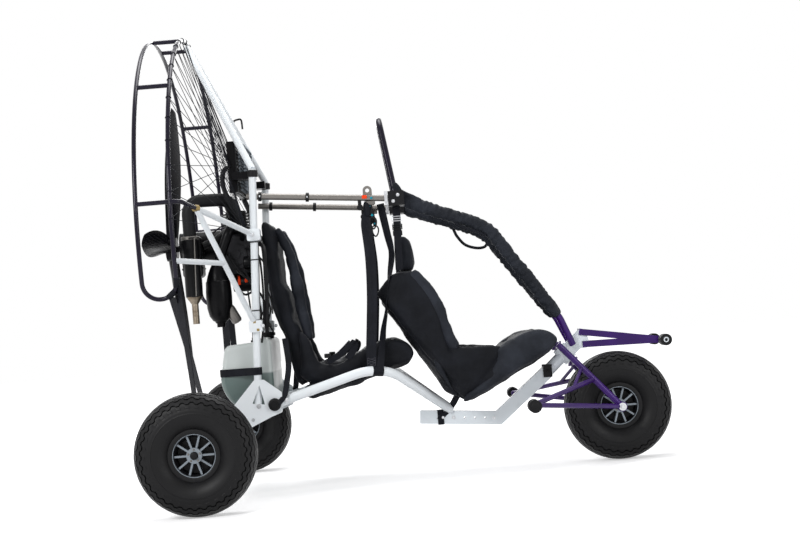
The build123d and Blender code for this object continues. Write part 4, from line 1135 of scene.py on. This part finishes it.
class TRIKE_OT_straps(bpy.types.Operator):
    """Makes the hang straps, seat straps, lap belts and cage straps"""
    bl_idname = "trike.straps"
    bl_label = "Straps"

    def execute(self, context):
        for side, sign in SIDES.items():
            rows = route(HANG_STRAP, sign, 6)
            turns = [Vector((math.cos(a), math.sin(a) * sign, 0)) for a in np.linspace(0.0, 0.30, len(rows))]
            places = np.linspace(0, len(rows) - 1, len(HANG_WIDTHS))
            widths = list(np.interp(range(len(rows)), places, HANG_WIDTHS))
            wide = Shape()
            wide.ribbon(rows, turns, widths, 0.0036)
            wide.lathe(rows[0] + Vector((0, 0, 0.003)), (0, 0, -1), HANG_KNOT, 16)
            (x, y, z), (ax, ay, az), radius, reach = TUBE_WRAP
            run = Vector((ax, sign * ay, az))
            wide.collar(at(x, sign * y, z) - run * reach / 2, run, radius, 0.0030, reach, 28)
            hang = wide.piece(f"hang_strap_{side}", "webbing")
            if sign > 0:
                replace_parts(hang, "hang_straps")
            self.stitches(f"hang_strap_stitches_{side}", rows[-4:], turns[-4:], widths[-1])
            self.strip(f"second_strap_{side}", SECOND_STRAP, sign, 0.030, (0.1, 3.1))
            self.strip(f"seat_strap_{side}", SEAT_STRAP, sign, 0.030, (0.05, 0.05))
            belt = Shape()
            for part in LAP_BELT:
                belt.ribbon(route(part, sign, 6), Vector((-0.7, 0, 0.7)), 0.026, 0.003)
            belt.piece(f"lap_belt_{side}", "webbing")
            self.buckles(side, sign)
            self.strip(f"seat_tie_{side}", SEAT_TIE, sign, 0.024, (0.1, 0.3))
            reel = Shape()
            x, y, z = GUSSET_REEL
            reel.lathe(at(x, sign * y, z), (0, sign, 0), REEL_PROFILE, 32)
            reel.piece(f"gusset_reel_{side}", "black_plastic")
        self.cage_straps()
        self.keel_strap()
        return {"FINISHED"}

    @staticmethod
    def keel_strap():
        """Strap from the front seat's foot to a loop round the keel."""
        strap = Shape()
        station, height, half = KEEL_LOOP
        corners = [(-1, -1), (1, -1), (1, 1), (-1, 1), (-1, -1)]
        loop = [at(station, a * half, height + b * half) for a, b in corners]
        strap.ribbon(loop, Vector((1, 0, 0)), 0.025, 0.0026)
        for sign in SIDES.values():
            path = route(TAIL_STRAP, sign, 5)
            strap.ribbon(path, Vector((1, 0, 0.6)), 0.022, 0.0026)
        strap.piece("keel_strap", "webbing")

    def cage_straps(self):
        """Webbing from the cage's bows to the axle beam, wrapped round both."""
        strap = Shape()
        for sign in SIDES.values():
            for top, (bx, by, bz), foot in CAGE_STRAPS:
                bow = Vector((bx, sign * by, bz))
                start, end = [at(x, sign * y, z) for x, y, z in (top, foot)]
                run = (end - start).normalized()
                path = [start.lerp(end, t) + Vector((CAGE_STRAP_BOW * math.sin(math.pi * t), 0, 0))
                        for t in np.linspace(0, 1, 25)]
                path[0] = start + run * (CAGE_R + 0.0016)
                path[-1] = end - run * (BEAM_R + 0.0016)
                turns = [Vector((math.cos(a), sign * math.sin(a), 0)) for a in np.linspace(0.75, 1.2, 25)]
                strap.ribbon(path, turns, CAGE_STRAP_WIDTH, 0.0026)
                strap.collar(end - Vector((0, BEAM_WRAP / 2, 0)), (0, 1, 0), BEAM_R, WRAP_RISE, BEAM_WRAP, 28)
                strap.collar(start - bow * BOW_WRAP / 2, bow, CAGE_R, WRAP_RISE, BOW_WRAP, 20)
        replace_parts(strap.piece("cage_webbing", "webbing"), "cage_straps")

    def strip(self, name, points, sign, width, turn):
        path = route(points, sign, 6)
        turns = [Vector((math.cos(a), sign * math.sin(a), 0)) for a in np.linspace(*turn, len(path))]
        strap = Shape()
        strap.ribbon(path, turns, width, 0.0030)
        strap.piece(name, "webbing", bevel=0.0007)

    def stitches(self, name, rows, turns, width):
        """Crossed thread boxes at the strap's ends."""
        thread = Shape()
        for a, b, turn in zip(rows, rows[1:], turns):
            if (b - a).length > 0.1:
                continue
            out = turn.cross((b - a).normalized()).normalized() * 0.0022
            for face in (1, -1):
                for one, two in ((-0.4, 0.4), (0.4, -0.4), (-0.42, -0.42), (0.42, 0.42)):
                    ends = [a + turn * width * one + out * face, b + turn * width * two + out * face]
                    thread.tube(ends, 0.0006, 5)
        thread.piece(name, "webbing", finish=finish_of("thread"))

    def buckles(self, side, sign):
        for name, z, slot in (("upper", 1052, "bright_steel"), ("lower", 1018, "black_plastic")):
            ladder = Shape()
            place = at(788, sign * 211, z)
            for lift in (-0.009, 0.0, 0.009):
                ladder.tube([place + Vector((-0.018, 0, lift)), place + Vector((0.018, 0, lift))], 0.0023, 8)
            for end in (-0.018, 0.018):
                ladder.tube([place + Vector((end, 0, -0.011)), place + Vector((end, 0, 0.011))], 0.0023, 8)
            ladder.piece(f"{name}_buckle_{side}", slot)
        clip = Shape()
        x, y, z = BELT_CLIP
        clip.block(at(x, sign * y, z), (0.026, 0.012, 0.018))
        clip.piece(f"belt_clip_{side}", "black_plastic", bevel=0.003)


# Net of the cage
NET_STATION = -25
NET_CENTRE = 1020
NET_R = 0.845
NET_ENDS = (3.7, 176.3)
NET_POINTS = 26
NET_ROOTS = ((140, 206, 1318), (194, 286, 1046))


class TRIKE_OT_net(bpy.types.Operator):
    """Ties the net's lines from the front hoop to the cooler and the mast clamps"""
    bl_idname = "trike.net"
    bl_label = "Cage net"

    def execute(self, context):
        lines = Shape()
        knots = Shape()
        radius = sizes().net_line / 2
        centre = at(NET_STATION, 0, NET_CENTRE)
        spots = [centre + Vector((0, math.cos(angle), math.sin(angle))) * NET_R
                 for angle in np.radians(np.linspace(*NET_ENDS, NET_POINTS))]
        for spot in spots:
            sign = 1 if spot.y > 0 else -1
            for x, y, z in NET_ROOTS:
                lines.tube([spot, at(x, sign * y, z)], radius, 6)
        for spot in spots:
            out = (spot - centre).normalized()
            knots.ring(spot, Vector((1, 0, 0)).cross(out), 0.0093, 0.0018, 16, 6)
        lines.piece("cage_net", "webbing")
        knots.piece("cage_net_knots", "webbing")
        return {"FINISHED"}


# Engine dressing
SILENCER = (-46, -205)
CHAMBER = (47, -158)
BANDS = ((SILENCER, 1034, 0.0345),)
ROD = ((-24, -244, 1040), (-34, -244, 806))
CAPS = ((126, -88, 876, 0.006, 0.034), (154, -88, 872, 0.007, 0.022))
FIN_PITCH = 0.0060
FIN_DEPTH = 0.0056
RADIATOR_ROWS = 14
RADIATOR_CORE = (0.0070, 0.172)
MAST_BEND = (231, 286, 1272)
MAST_R = 0.015
TIE_R = 0.0168
TUBE_HOOK = ((131, 185, 1530), (128, 182, 1550), (144, 181, 1557), (160, 182, 1554), (163, 184, 1515))
PLUG = (125, 0, 1150)
PLUG_PROFILE = ((0.010, -0.002), (0.010, 0.012), (0.007, 0.014), (0.007, 0.026), (0.011, 0.028),
                (0.010, 0.048), (0.004, 0.052))
BELLY = ((0.030, 0.880), (0.0495, 0.860), (0.0525, 0.800), (0.0510, 0.755), (0.0440, 0.722),
         (0.0310, 0.703), (0.0150, 0.694), (0.0040, 0.692))
HOUSINGS = (((96, -52, 850), (190, -52, 850), 0.035), ((150, -97, 930), (206, -97, 930), 0.027))
STINGER = ((80, -158, 760), (0.45, 0, -0.9))
STINGER_PROFILE = ((0.017, 0), (0.021, 0.018), (0.021, 0.070), (0.016, 0.078), (0.004, 0.080))
WIRES = (  # name, route, radius in metres
    ("plug_lead", ((125, 0, 1194), (116, 22, 1204), (120, 66, 1186), (150, 92, 1120),
                   (172, 88, 1064)), 0.0036),
    ("loom", ((150, -72, 990), (186, -120, 985), (214, -190, 960), (232, -262, 930), (236, -270, 820),
              (230, -268, 700), (214, -266, 600)), 0.0042),
    ("starter_lead", ((112, -72, 930), (124, -128, 900), (170, -196, 860), (212, -258, 800),
                      (222, -270, 690)), 0.0032),
    ("coolant_upper", ((128, -189, 1316), (108, -194, 1300), (102, -203, 1250), (118, -209, 1190),
                       (142, -190, 1128), (152, -126, 1070), (150, -70, 1030)), 0.0100),
    ("coolant_lower", ((140, 68, 936), (156, 132, 980), (168, 184, 1090), (160, 190, 1170),
                       (146, 189, 1214)), 0.0100),
    ("carburettor_hose", ((-8, -120, 1010), (20, -112, 1020), (60, -104, 1040), (92, -70, 1066),
                          (108, -52, 1072)), 0.0160),
    ("throttle_cable", ((30, -128, 1052), (90, -206, 1080), (170, -250, 1070), (236, -268, 1010),
                        (246, -262, 900), (250, -258, 780), (246, -262, 660)), 0.0028),
    ("mast_loom", ((196, -84, 960), (226, -150, 940), (250, -214, 900), (256, -248, 840), (244, -252, 790),
                   (258, -250, 730), (246, -254, 680), (262, -246, 640)), 0.0034),
    ("mast_sleeve", ((222, -150, 1000), (246, -222, 984), (252, -262, 940), (250, -270, 860),
                     (248, -268, 760), (240, -264, 690), (236, -240, 640)), 0.0082),
    ("fuel_return", ((190, -40, 690), (206, -92, 720), (196, -128, 790), (176, -120, 850),
                     (150, -96, 900)), 0.0048),
    ("lower_loom", ((120, -60, 820), (150, -100, 800), (196, -140, 812), (226, -200, 780),
                    (240, -250, 730)), 0.0046),
    ("gear_hose", ((60, -100, 1010), (96, -122, 960), (130, -112, 900), (166, -96, 866),
                   (204, -120, 880)), 0.0060),
    ("cross_loom", ((206, -230, 700), (236, -180, 740), (238, -90, 790), (226, 10, 820), (232, 110, 780),
                    (226, 220, 720)), 0.0034),
)
FUEL_HOSE = ((150, 60, 618), (150, 60, 690), (146, 74, 760), (140, 84, 830), (136, 74, 880), (136, 62, 900))
TIES = ((213, -286, 930), (202.5, -286, 729), (200, -286, 690), (217, -286, 1000))
SPRINGS = (((47, -120, 905), (70, -84, 930)), ((30, -130, 880), (62, -84, 905)))


class TRIKE_OT_engine(bpy.types.Operator):
    """Dresses the open engine with leads, hoses, bands and its plug"""
    bl_idname = "trike.engine"
    bl_label = "Engine dressing"

    def execute(self, context):
        steel = Shape()
        for (x, y), z, radius in BANDS:
            top = radius + 0.0022
            profile = [(radius, 0), (top, 0.0015), (top, 0.0125), (radius, 0.014)]
            steel.lathe(at(x, y, z), (0, 0, 1), profile, 36)
            steel.bolt(at(x, y, z + 7) + Vector((0, -radius - 0.001, 0)), (0, -1, 0), 0.0045)
        steel.tube([at(*point) for point in ROD], 0.0024, 10)
        for start, end in SPRINGS:
            steel.tube(self.coil(at(*start), at(*end), 0.0065, 11), 0.0013, 6)
        place, run = STINGER
        steel.lathe(at(*place), run, STINGER_PROFILE, 32)
        steel.piece("engine_bands", "titanium_grey")
        black = Shape()
        black.lathe(at(*CHAMBER, 0), (0, 0, 1), BELLY, 40)
        for start, end, radius in HOUSINGS:
            run = at(*end) - at(*start)
            reach = run.length
            profile = [(radius * 0.6, 0), (radius * 0.94, 0.003), (radius, 0.008), (radius, reach - 0.010),
                       (radius * 0.8, reach - 0.002), (radius * 0.3, reach)]
            black.lathe(at(*start), run, profile, 32)
        black.piece("exhaust_belly", "black_paint")
        cap = Shape()
        for x, y, z, radius, reach in CAPS:
            profile = [(radius * 0.7, -0.002), (radius * 0.7, 0.008), (radius, 0.009),
                       (radius, reach - 0.004), (radius * 0.6, reach)]
            cap.lathe(at(x, y, z), (0, 0, -1), profile, 20)
        cap.piece("primer_caps", "black_plastic", finish=finish_of("bright_cap"))
        self.fins()
        hook = Shape()
        hook.tube(route(TUBE_HOOK, 1, 6), 0.0040, 10)
        hook.piece("tube_hook", "black_plastic")
        plug = Shape()
        plug.lathe(at(*PLUG), (0, 0, 1), PLUG_PROFILE, 18)
        plug.block(at(176, 88, 1040), (0.030, 0.044, 0.052))
        for x, y, z in ROD:
            plug.block((at(x, y, z) + at(*SILENCER, z)) / 2, (0.026, 0.042, 0.006))
        x, y, z = MAST_BEND
        for sign in SIDES.values():
            plug.collar(at(x, sign * y, z - 14), (0.0525, 0, 0.9986), MAST_R, 0.006, 0.028, 28)
        plug.piece("plug_and_coil", "black_plastic", bevel=0.0015)
        for name, places, radius in WIRES:
            wire = Shape()
            wire.tube(route(places, 1, 6), radius, 10)
            wire.piece(name, "grip_rubber")
        hose = Shape()
        path = route(FUEL_HOSE, 1, 6)
        hose.tube(path, 0.0035, 10)
        hose.piece("fuel_hose", "black_plastic")
        ties = Shape()
        for x, y, z in TIES:
            ties.ring(at(x, y, z), (0, 0, 1), TIE_R, 0.0024, 24, 6)
        ties.piece("mast_ties", "black_plastic")
        return {"FINISHED"}

    @staticmethod
    def fins():
        """Folded fins between the cooler's tubes, on both faces of its core."""
        low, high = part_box("radiator")
        core, half = RADIATOR_CORE
        middle = middle_of("radiator").x
        pitch = (high.z - low.z) / RADIATOR_ROWS
        folds = int(2 * half / FIN_PITCH)
        fins = Shape()
        for row in range(RADIATOR_ROWS - 1):
            base = low.z + pitch * (row + 0.5) + 0.0024
            for face in (1, -1):
                path = [Vector((middle + face * (core + FIN_DEPTH / 2), -half + FIN_PITCH * i,
                                base + (i % 2) * (pitch - 0.0048))) for i in range(folds + 1)]
                fins.ribbon(path, Vector((1, 0, 0)), FIN_DEPTH, 0.0006)
        fins.piece("radiator_fins", "cast_grey")

    @staticmethod
    def coil(start, end, radius, turns):
        run = end - start
        side = run.orthogonal().normalized()
        up = run.normalized().cross(side)
        steps = turns * 10
        return [start + run * (i / steps) + (side * math.cos(i * 0.6283) + up * math.sin(i * 0.6283)) * radius
                for i in range(steps + 1)]


# Tank: strap round it, filler and outlet
TANK_STRAP_WIDTH = 0.030
TANK_CORNER = 0.022
MAST_LOOP = ((100, 248), (140, 266), (174, 296), (190, 303.4), (204, 298), (207.4, 286), (200, 272),
             (184, 270))
FILLER = (226, -60)
FILLER_PROFILE = ((0.022, -0.006), (0.022, 0.004), (0.026, 0.006), (0.026, 0.018), (0.022, 0.021),
                  (0.006, 0.022))


class TRIKE_OT_tank(bpy.types.Operator):
    """Makes the tank's strap, filler cap and outlet"""
    bl_idname = "trike.tank"
    bl_label = "Tank fittings"

    def execute(self, context):
        low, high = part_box("tank_strap")
        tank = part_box("fuel_tank")
        low.y, high.y = tank[0].y - 0.003, tank[1].y + 0.003
        middle = (low + high) / 2
        half = (high - low) / 2
        level = middle.z / MM
        loops = [route([(x, y, level) for x, y in MAST_LOOP], sign, 5) for sign in (1, -1)]
        path = list(reversed(loops[0]))
        for y, start in ((1, 90), (-1, 180)):
            centre = middle + Vector((TANK_CORNER - half.x, y * (half.y - TANK_CORNER), 0))
            for angle in np.radians(np.linspace(start, start + 90, 8)):
                path.append(centre + Vector((math.cos(angle), math.sin(angle), 0)) * (TANK_CORNER - 0.0012))
        strap = Shape()
        strap.ribbon(path + loops[1], Vector((0, 0, 1)), TANK_STRAP_WIDTH, 0.0024)
        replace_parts(strap.piece("tank_webbing", "webbing"), "tank_strap")
        buckle = Shape()
        buckle.block(Vector((low.x - 0.001, 0.08, middle.z)), (0.007, 0.044, 0.036))
        buckle.block(Vector((low.x - 0.005, 0.092, middle.z)), (0.004, 0.020, 0.030))
        buckle.piece("tank_buckle", "black_plastic", bevel=0.0015)
        filler = Shape()
        down = Vector((0, 0, -1))
        seat = touched("fuel_tank", at(*FILLER, 900), down)
        filler.lathe(seat, (0, 0, 1), FILLER_PROFILE, 32)
        for turn in turned(20):
            rib = Vector((math.cos(turn), math.sin(turn), 0)) * 0.026
            filler.tube([seat + rib + Vector((0, 0, 0.007)), seat + rib + Vector((0, 0, 0.017))], 0.0014, 6)
        outlet = touched("fuel_tank", at(*FUEL_HOSE[0][:2], 900), down)
        filler.lathe(outlet, (0, 0, 1), [(0.011, -0.003), (0.011, 0.008), (0.006, 0.010), (0.006, 0.020)], 18)
        filler.piece("tank_filler", "black_plastic")
        return {"FINISHED"}


# Fasteners: place, axis and size in millimetres; both sides where the distance to the left isn't 0
BOLTS = (
    ((186, 308, 352), (0, 1, 0), 8), ((296, 308, 368), (0, 1, 0), 8), ((160, 308, 300), (0, 1, 0), 6),
    ((20, 308, 222), (0, 1, 0), 7), ((911, 27, 232), (0, 1, 0), 7), ((954, 27, 228), (0, 1, 0), 7),
    ((1120, 27, 213), (0, 1, 0), 6), ((228, 316, 667), (0, 1, 0), 6), ((216, 316, 1028), (0, 1, 0), 6),
    ((800, 276, 1142), (0, 1, 0), 6), ((780, 276, 1118), (0, 1, 0), 6),
)


CLAMP_TAGS = ((196, 315.5, 684), (208, 315.5, 652))


class TRIKE_OT_fasteners(bpy.types.Operator):
    """Sets the bolts of the frame"""
    bl_idname = "trike.fasteners"
    bl_label = "Fasteners"

    def execute(self, context):
        steel = Shape()
        for (x, y, z), (ax, ay, az), size in BOLTS:
            for sign in (1, -1):
                steel.bolt(at(x, sign * y, z), (ax, sign * ay, az), size * MM)
        steel.piece("frame_bolts", "bright_steel")
        tags = Shape()
        for x, y, z in CLAMP_TAGS:
            for sign in (1, -1):
                tags.block(at(x, sign * y, z), (0.010, 0.0016, 0.010))
        tags.piece("clamp_tags", "brass")
        return {"FINISHED"}


# Arms
ARM = ((198, 1186), (775, 1131))
ARM_Y = 258
ARM_R = 0.0125
ARM_BOLT = 0.0036
ARM_RINGS = (252, 440)
CLUSTER = (  # name, finish, station, distance to the left, height and size in millimetres
    ("cap", "cap_bit", 667, 272, 1144, (20, 8, 14)),
    ("tag_upper", "tag_bit", 694, 271, 1138, (10, 8, 9)),
    ("tag_middle", "tag_bit", 683, 264, 1105, (10, 7, 8)),
    ("tag_lower", "tag_bit", 692, 264, 1070, (10, 7, 9)),
    ("loop", "arm_bit", 690, 266, 1119, (36, 6, 15)),
)
SLING_LOOP = ((688, 262, 1138), (688, 263, 1110), (692, 263, 1080), (693, 263, 1058))
PULLEY = (646, 262, 1104)
PULLEY_PROFILE = ((0.004, 0), (0.012, 0.001), (0.010, 0.005), (0.012, 0.009), (0.004, 0.010))
CLAMP_PLATE = (752, 258, 1132)


def arm_z(station):
    (a, low), (b, high) = ARM
    return low + (high - low) * (station - a) / (b - a)


class TRIKE_OT_arms(bpy.types.Operator):
    """Adds clamp rings, plates, pulleys, links and tags to the arms"""
    bl_idname = "trike.arms"
    bl_label = "Arm fittings"

    def execute(self, context):
        along = (at(ARM[1][0], 0, ARM[1][1]) - at(ARM[0][0], 0, ARM[0][1])).normalized()
        for side, sign in SIDES.items():
            rings = Shape()
            steel = Shape()
            for station in ARM_RINGS:
                place = at(station, sign * ARM_Y, arm_z(station)) - along * 0.007
                rings.collar(place, along, ARM_R, 0.006, 0.014, 26)
                side_face = Vector((0, sign * (ARM_R + 0.005), 0))
                steel.bolt(place + along * 0.007 + side_face, (0, sign, 0), ARM_BOLT)
            x, y, z = CLAMP_PLATE
            steel.block(at(x, sign * y, z), (0.012, 0.044, 0.056))
            steel.bolt(at(x, sign * (y + 22), z + 16), (0, sign, 0), ARM_BOLT)
            steel.bolt(at(x, sign * (y + 22), z - 16), (0, sign, 0), ARM_BOLT)
            x, y, z = PULLEY
            rings.block(at(x, sign * y, (z + arm_z(x)) / 2), (0.014, 0.006, (arm_z(x) - z) * MM))
            rings.lathe(at(x, sign * (y + 2), z), (0, sign, 0), PULLEY_PROFILE, 24)
            self.link(rings, at(693, sign * 263, 1061), 0.015, 0.046, 0.0032, sign)
            rings.ribbon(route(SLING_LOOP, sign, 5), Vector((1, 0, 0)), 0.014, 0.003)
            rings.piece(f"arm_rings_{side}", "black_plastic")
            steel.piece(f"arm_steel_{side}", "bright_steel")
            for name, finish, x, y, z, size in CLUSTER:
                bit = Shape()
                bit.block(at(x, sign * y, z), [part * MM for part in size])
                bit.piece(f"arm_{name}_{side}", "webbing", bevel=0.0025, finish=finish_of(finish))
        return {"FINISHED"}

    @staticmethod
    def link(shape, place, half_width, height, radius, sign):
        """A rounded link hanging from its place, turned a little out."""
        path = []
        for angle in np.radians(np.linspace(0, 360, 37)):
            x = half_width * math.sin(angle) * (1.0 + 0.25 * math.cos(angle))
            z = -height / 2 + (height / 2) * math.cos(angle)
            path.append(place + Vector((x * 0.9, sign * x * 0.35, z)))
        shape.tube(path, radius, 10)


# Front end
RISER_CLAMP = (1356, 29.5, 387)
PEG_CAP = ((0.0165, 0), (0.0165, 0.003), (0.013, 0.005), (0.003, 0.0052))


class TRIKE_OT_front_end(bpy.types.Operator):
    """Adds the axle nuts, peg caps and collars of the front end"""
    bl_idname = "trike.front_end"
    bl_label = "Front fittings"

    def execute(self, context):
        low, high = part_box("front_axle")
        centre = (low + high) / 2
        nuts = Shape()
        caps = Shape()
        pale = Shape()
        grips = Shape()
        for sign in (1, -1):
            axis = Vector((0, sign, 0))
            nuts.bolt(Vector((centre.x, high.y if sign > 0 else low.y, centre.z)), axis, 0.0095)
            peg_low, peg_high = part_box("foot_pegs")
            peg = (peg_low + peg_high) / 2
            face = Vector((peg.x, peg_high.y if sign > 0 else peg_low.y, peg.z))
            pale.ring(face - axis * 0.001, axis, 0.0110, 0.0026, 28, 8)
            caps.lathe(face - axis * 0.002, axis, PEG_CAP, 28)
            grip_low, grip_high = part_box("nose_grips")
            grip = Vector(((grip_low.x + grip_high.x) / 2, grip_high.y if sign > 0 else grip_low.y,
                           (grip_low.z + grip_high.z) / 2))
            grips.ring(grip, axis, 0.0085, 0.0022, 24, 8)
        clamps = Shape()
        x, y, z = RISER_CLAMP
        for sign in SIDES.values():
            clamps.block(at(x, sign * y, z), (0.036, 0.006, 0.052))
            clamps.bolt(at(x, sign * (y + 3), z), (0, sign, 0), 0.006)
        clamps.piece("riser_clamps", "black_plastic", bevel=0.002)
        nuts.piece("front_axle_nuts", "bright_steel", "steered_fork")
        caps.piece("peg_caps", "grip_rubber", "steered_fork")
        pale.piece("peg_rings", "pale_paint", "steered_fork")
        grips.piece("grip_rings", "pale_paint")
        return {"FINISHED"}


# Stage: the camera that the photograph's view fits, soft lamps and a pale floor
CAMERA_PLACE = (-0.0399, -6.4481, 0.6265)
CAMERA_PAN = -0.0741
CAMERA_TILT = 2.1308
CAMERA_ROLL = -4.7498
CAMERA_LENS = 70.02
SENSOR = 36.0
LAMPS = (  # name, place, size, power
    ("key", (-3.4, -4.6, 3.6), 2.4, 200.0),
    ("fill", (4.2, -4.4, 2.4), 2.4, 90.0),
    ("top", (0.0, 0.6, 5.0), 3.0, 130.0),
    ("back", (-1.0, 5.0, 3.0), 3.0, 80.0),
)
FLOOR_HALF = 30.0
FLOOR_GLOW = 0.42
FLOOR_FADE = (1.6, 5.0)
WORLD_LIGHT = 0.32


class TRIKE_OT_stage(bpy.types.Operator):
    """Makes the floor, the lamps and the camera"""
    bl_idname = "trike.stage"
    bl_label = "Stage"

    def execute(self, context):
        self.floor()
        self.world(context.scene)
        for name, place, size, power in LAMPS:
            lamp = bpy.data.lights.new(name, "AREA")
            lamp.shape = "DISK"
            lamp.size = size
            lamp.energy = power
            thing = bpy.data.objects.new(name, lamp)
            thing.location = place
            aim = Vector((0, 0, 0.7)) - Vector(place)
            thing.rotation_euler = aim.to_track_quat("-Z", "Y").to_euler()
            thing.visible_camera = False
            context.scene.collection.objects.link(thing)
        camera = bpy.data.cameras.new("camera")
        camera.lens = CAMERA_LENS
        camera.sensor_width = SENSOR
        thing = bpy.data.objects.new("camera", camera)
        context.scene.collection.objects.link(thing)
        turn = Matrix.Rotation(math.radians(CAMERA_PAN), 4, "Z")
        turn @= Matrix.Rotation(math.radians(90 + CAMERA_TILT), 4, "X")
        turn @= Matrix.Rotation(math.radians(CAMERA_ROLL), 4, "Z")
        thing.matrix_world = Matrix.Translation(CAMERA_PLACE) @ turn
        context.scene.camera = thing
        context.scene.view_settings.view_transform = "Standard"
        return {"FINISHED"}

    @staticmethod
    def floor():
        corners = [Vector((x, y, 0)) * FLOOR_HALF for x, y in ((-1, -1), (1, -1), (1, 1), (-1, 1))]
        mesh = bpy.data.meshes.new("floor")
        mesh.from_pydata(corners, [], [(0, 1, 2, 3)])
        floor = bpy.data.objects.new("floor", mesh)
        bpy.context.scene.collection.objects.link(floor)
        finish = Finish("floor", base_color=(0.86, 0.86, 0.87), roughness=0.9, specular_ior_level=0.0,
                        emission_strength=1.0)
        glow = finish.seen_ray()
        reach = finish.node("ShaderNodeVectorMath", {"operation": "LENGTH"}, {0: finish.coords}, "Value")
        far = reach.above(*FLOOR_FADE)
        bright = finish.blend(far, (FLOOR_GLOW,) * 3, (1.0, 1.0, 1.0))
        finish.paint(emission_color=finish.blend(glow, (0.0, 0.0, 0.0), bright))
        mesh.materials.append(finish.material)

    @staticmethod
    def world(scene):
        """White where it is seen, and a weaker light on the trike."""
        world = bpy.data.worlds.new("studio")
        world.use_nodes = True
        scene.world = world
        sky = Graph(world.node_tree)
        strength = WORLD_LIGHT + sky.seen_ray() * (1.0 - WORLD_LIGHT)
        sky.feed(sky.tree.nodes["Background"], {"Color": (1.0, 1.0, 1.0), "Strength": strength})


class TRIKE_PT_panel(bpy.types.Panel):
    """Lists the trike's pieces"""
    bl_idname = "TRIKE_PT_panel"
    bl_label = "Paramotor Trike"
    bl_space_type = "VIEW_3D"
    bl_region_type = "UI"
    bl_category = "Trike"

    def draw(self, context):
        for operator in OPERATORS:
            self.layout.operator(operator.bl_idname)
        for group in (context.scene.trike_colours, context.scene.trike_sizes):
            column = self.layout.column()
            for key in group.__annotations__:
                column.prop(group, key)


OPERATORS = (TRIKE_OT_finishes, TRIKE_OT_tyres, TRIKE_OT_rims, TRIKE_OT_rear_seat, TRIKE_OT_front_seat,
             TRIKE_OT_front_pads, TRIKE_OT_straps, TRIKE_OT_net, TRIKE_OT_engine, TRIKE_OT_tank,
             TRIKE_OT_fasteners, TRIKE_OT_arms, TRIKE_OT_front_end, TRIKE_OT_stage)
CLASSES = (TrikeColours, TrikeSizes, *OPERATORS, TRIKE_PT_panel)


def register():
    for cls in CLASSES:
        bpy.utils.register_class(cls)
    bpy.types.Scene.trike_colours = bpy.props.PointerProperty(type=TrikeColours)
    bpy.types.Scene.trike_sizes = bpy.props.PointerProperty(type=TrikeSizes)


def unregister():
    del bpy.types.Scene.trike_colours
    del bpy.types.Scene.trike_sizes
    for cls in reversed(CLASSES):
        bpy.utils.unregister_class(cls)


def main():
    register()
    for operator in OPERATORS:
        group, name = operator.bl_idname.split(".")
        getattr(getattr(bpy.ops, group), name)()


if __name__ == "__main__":
    main()
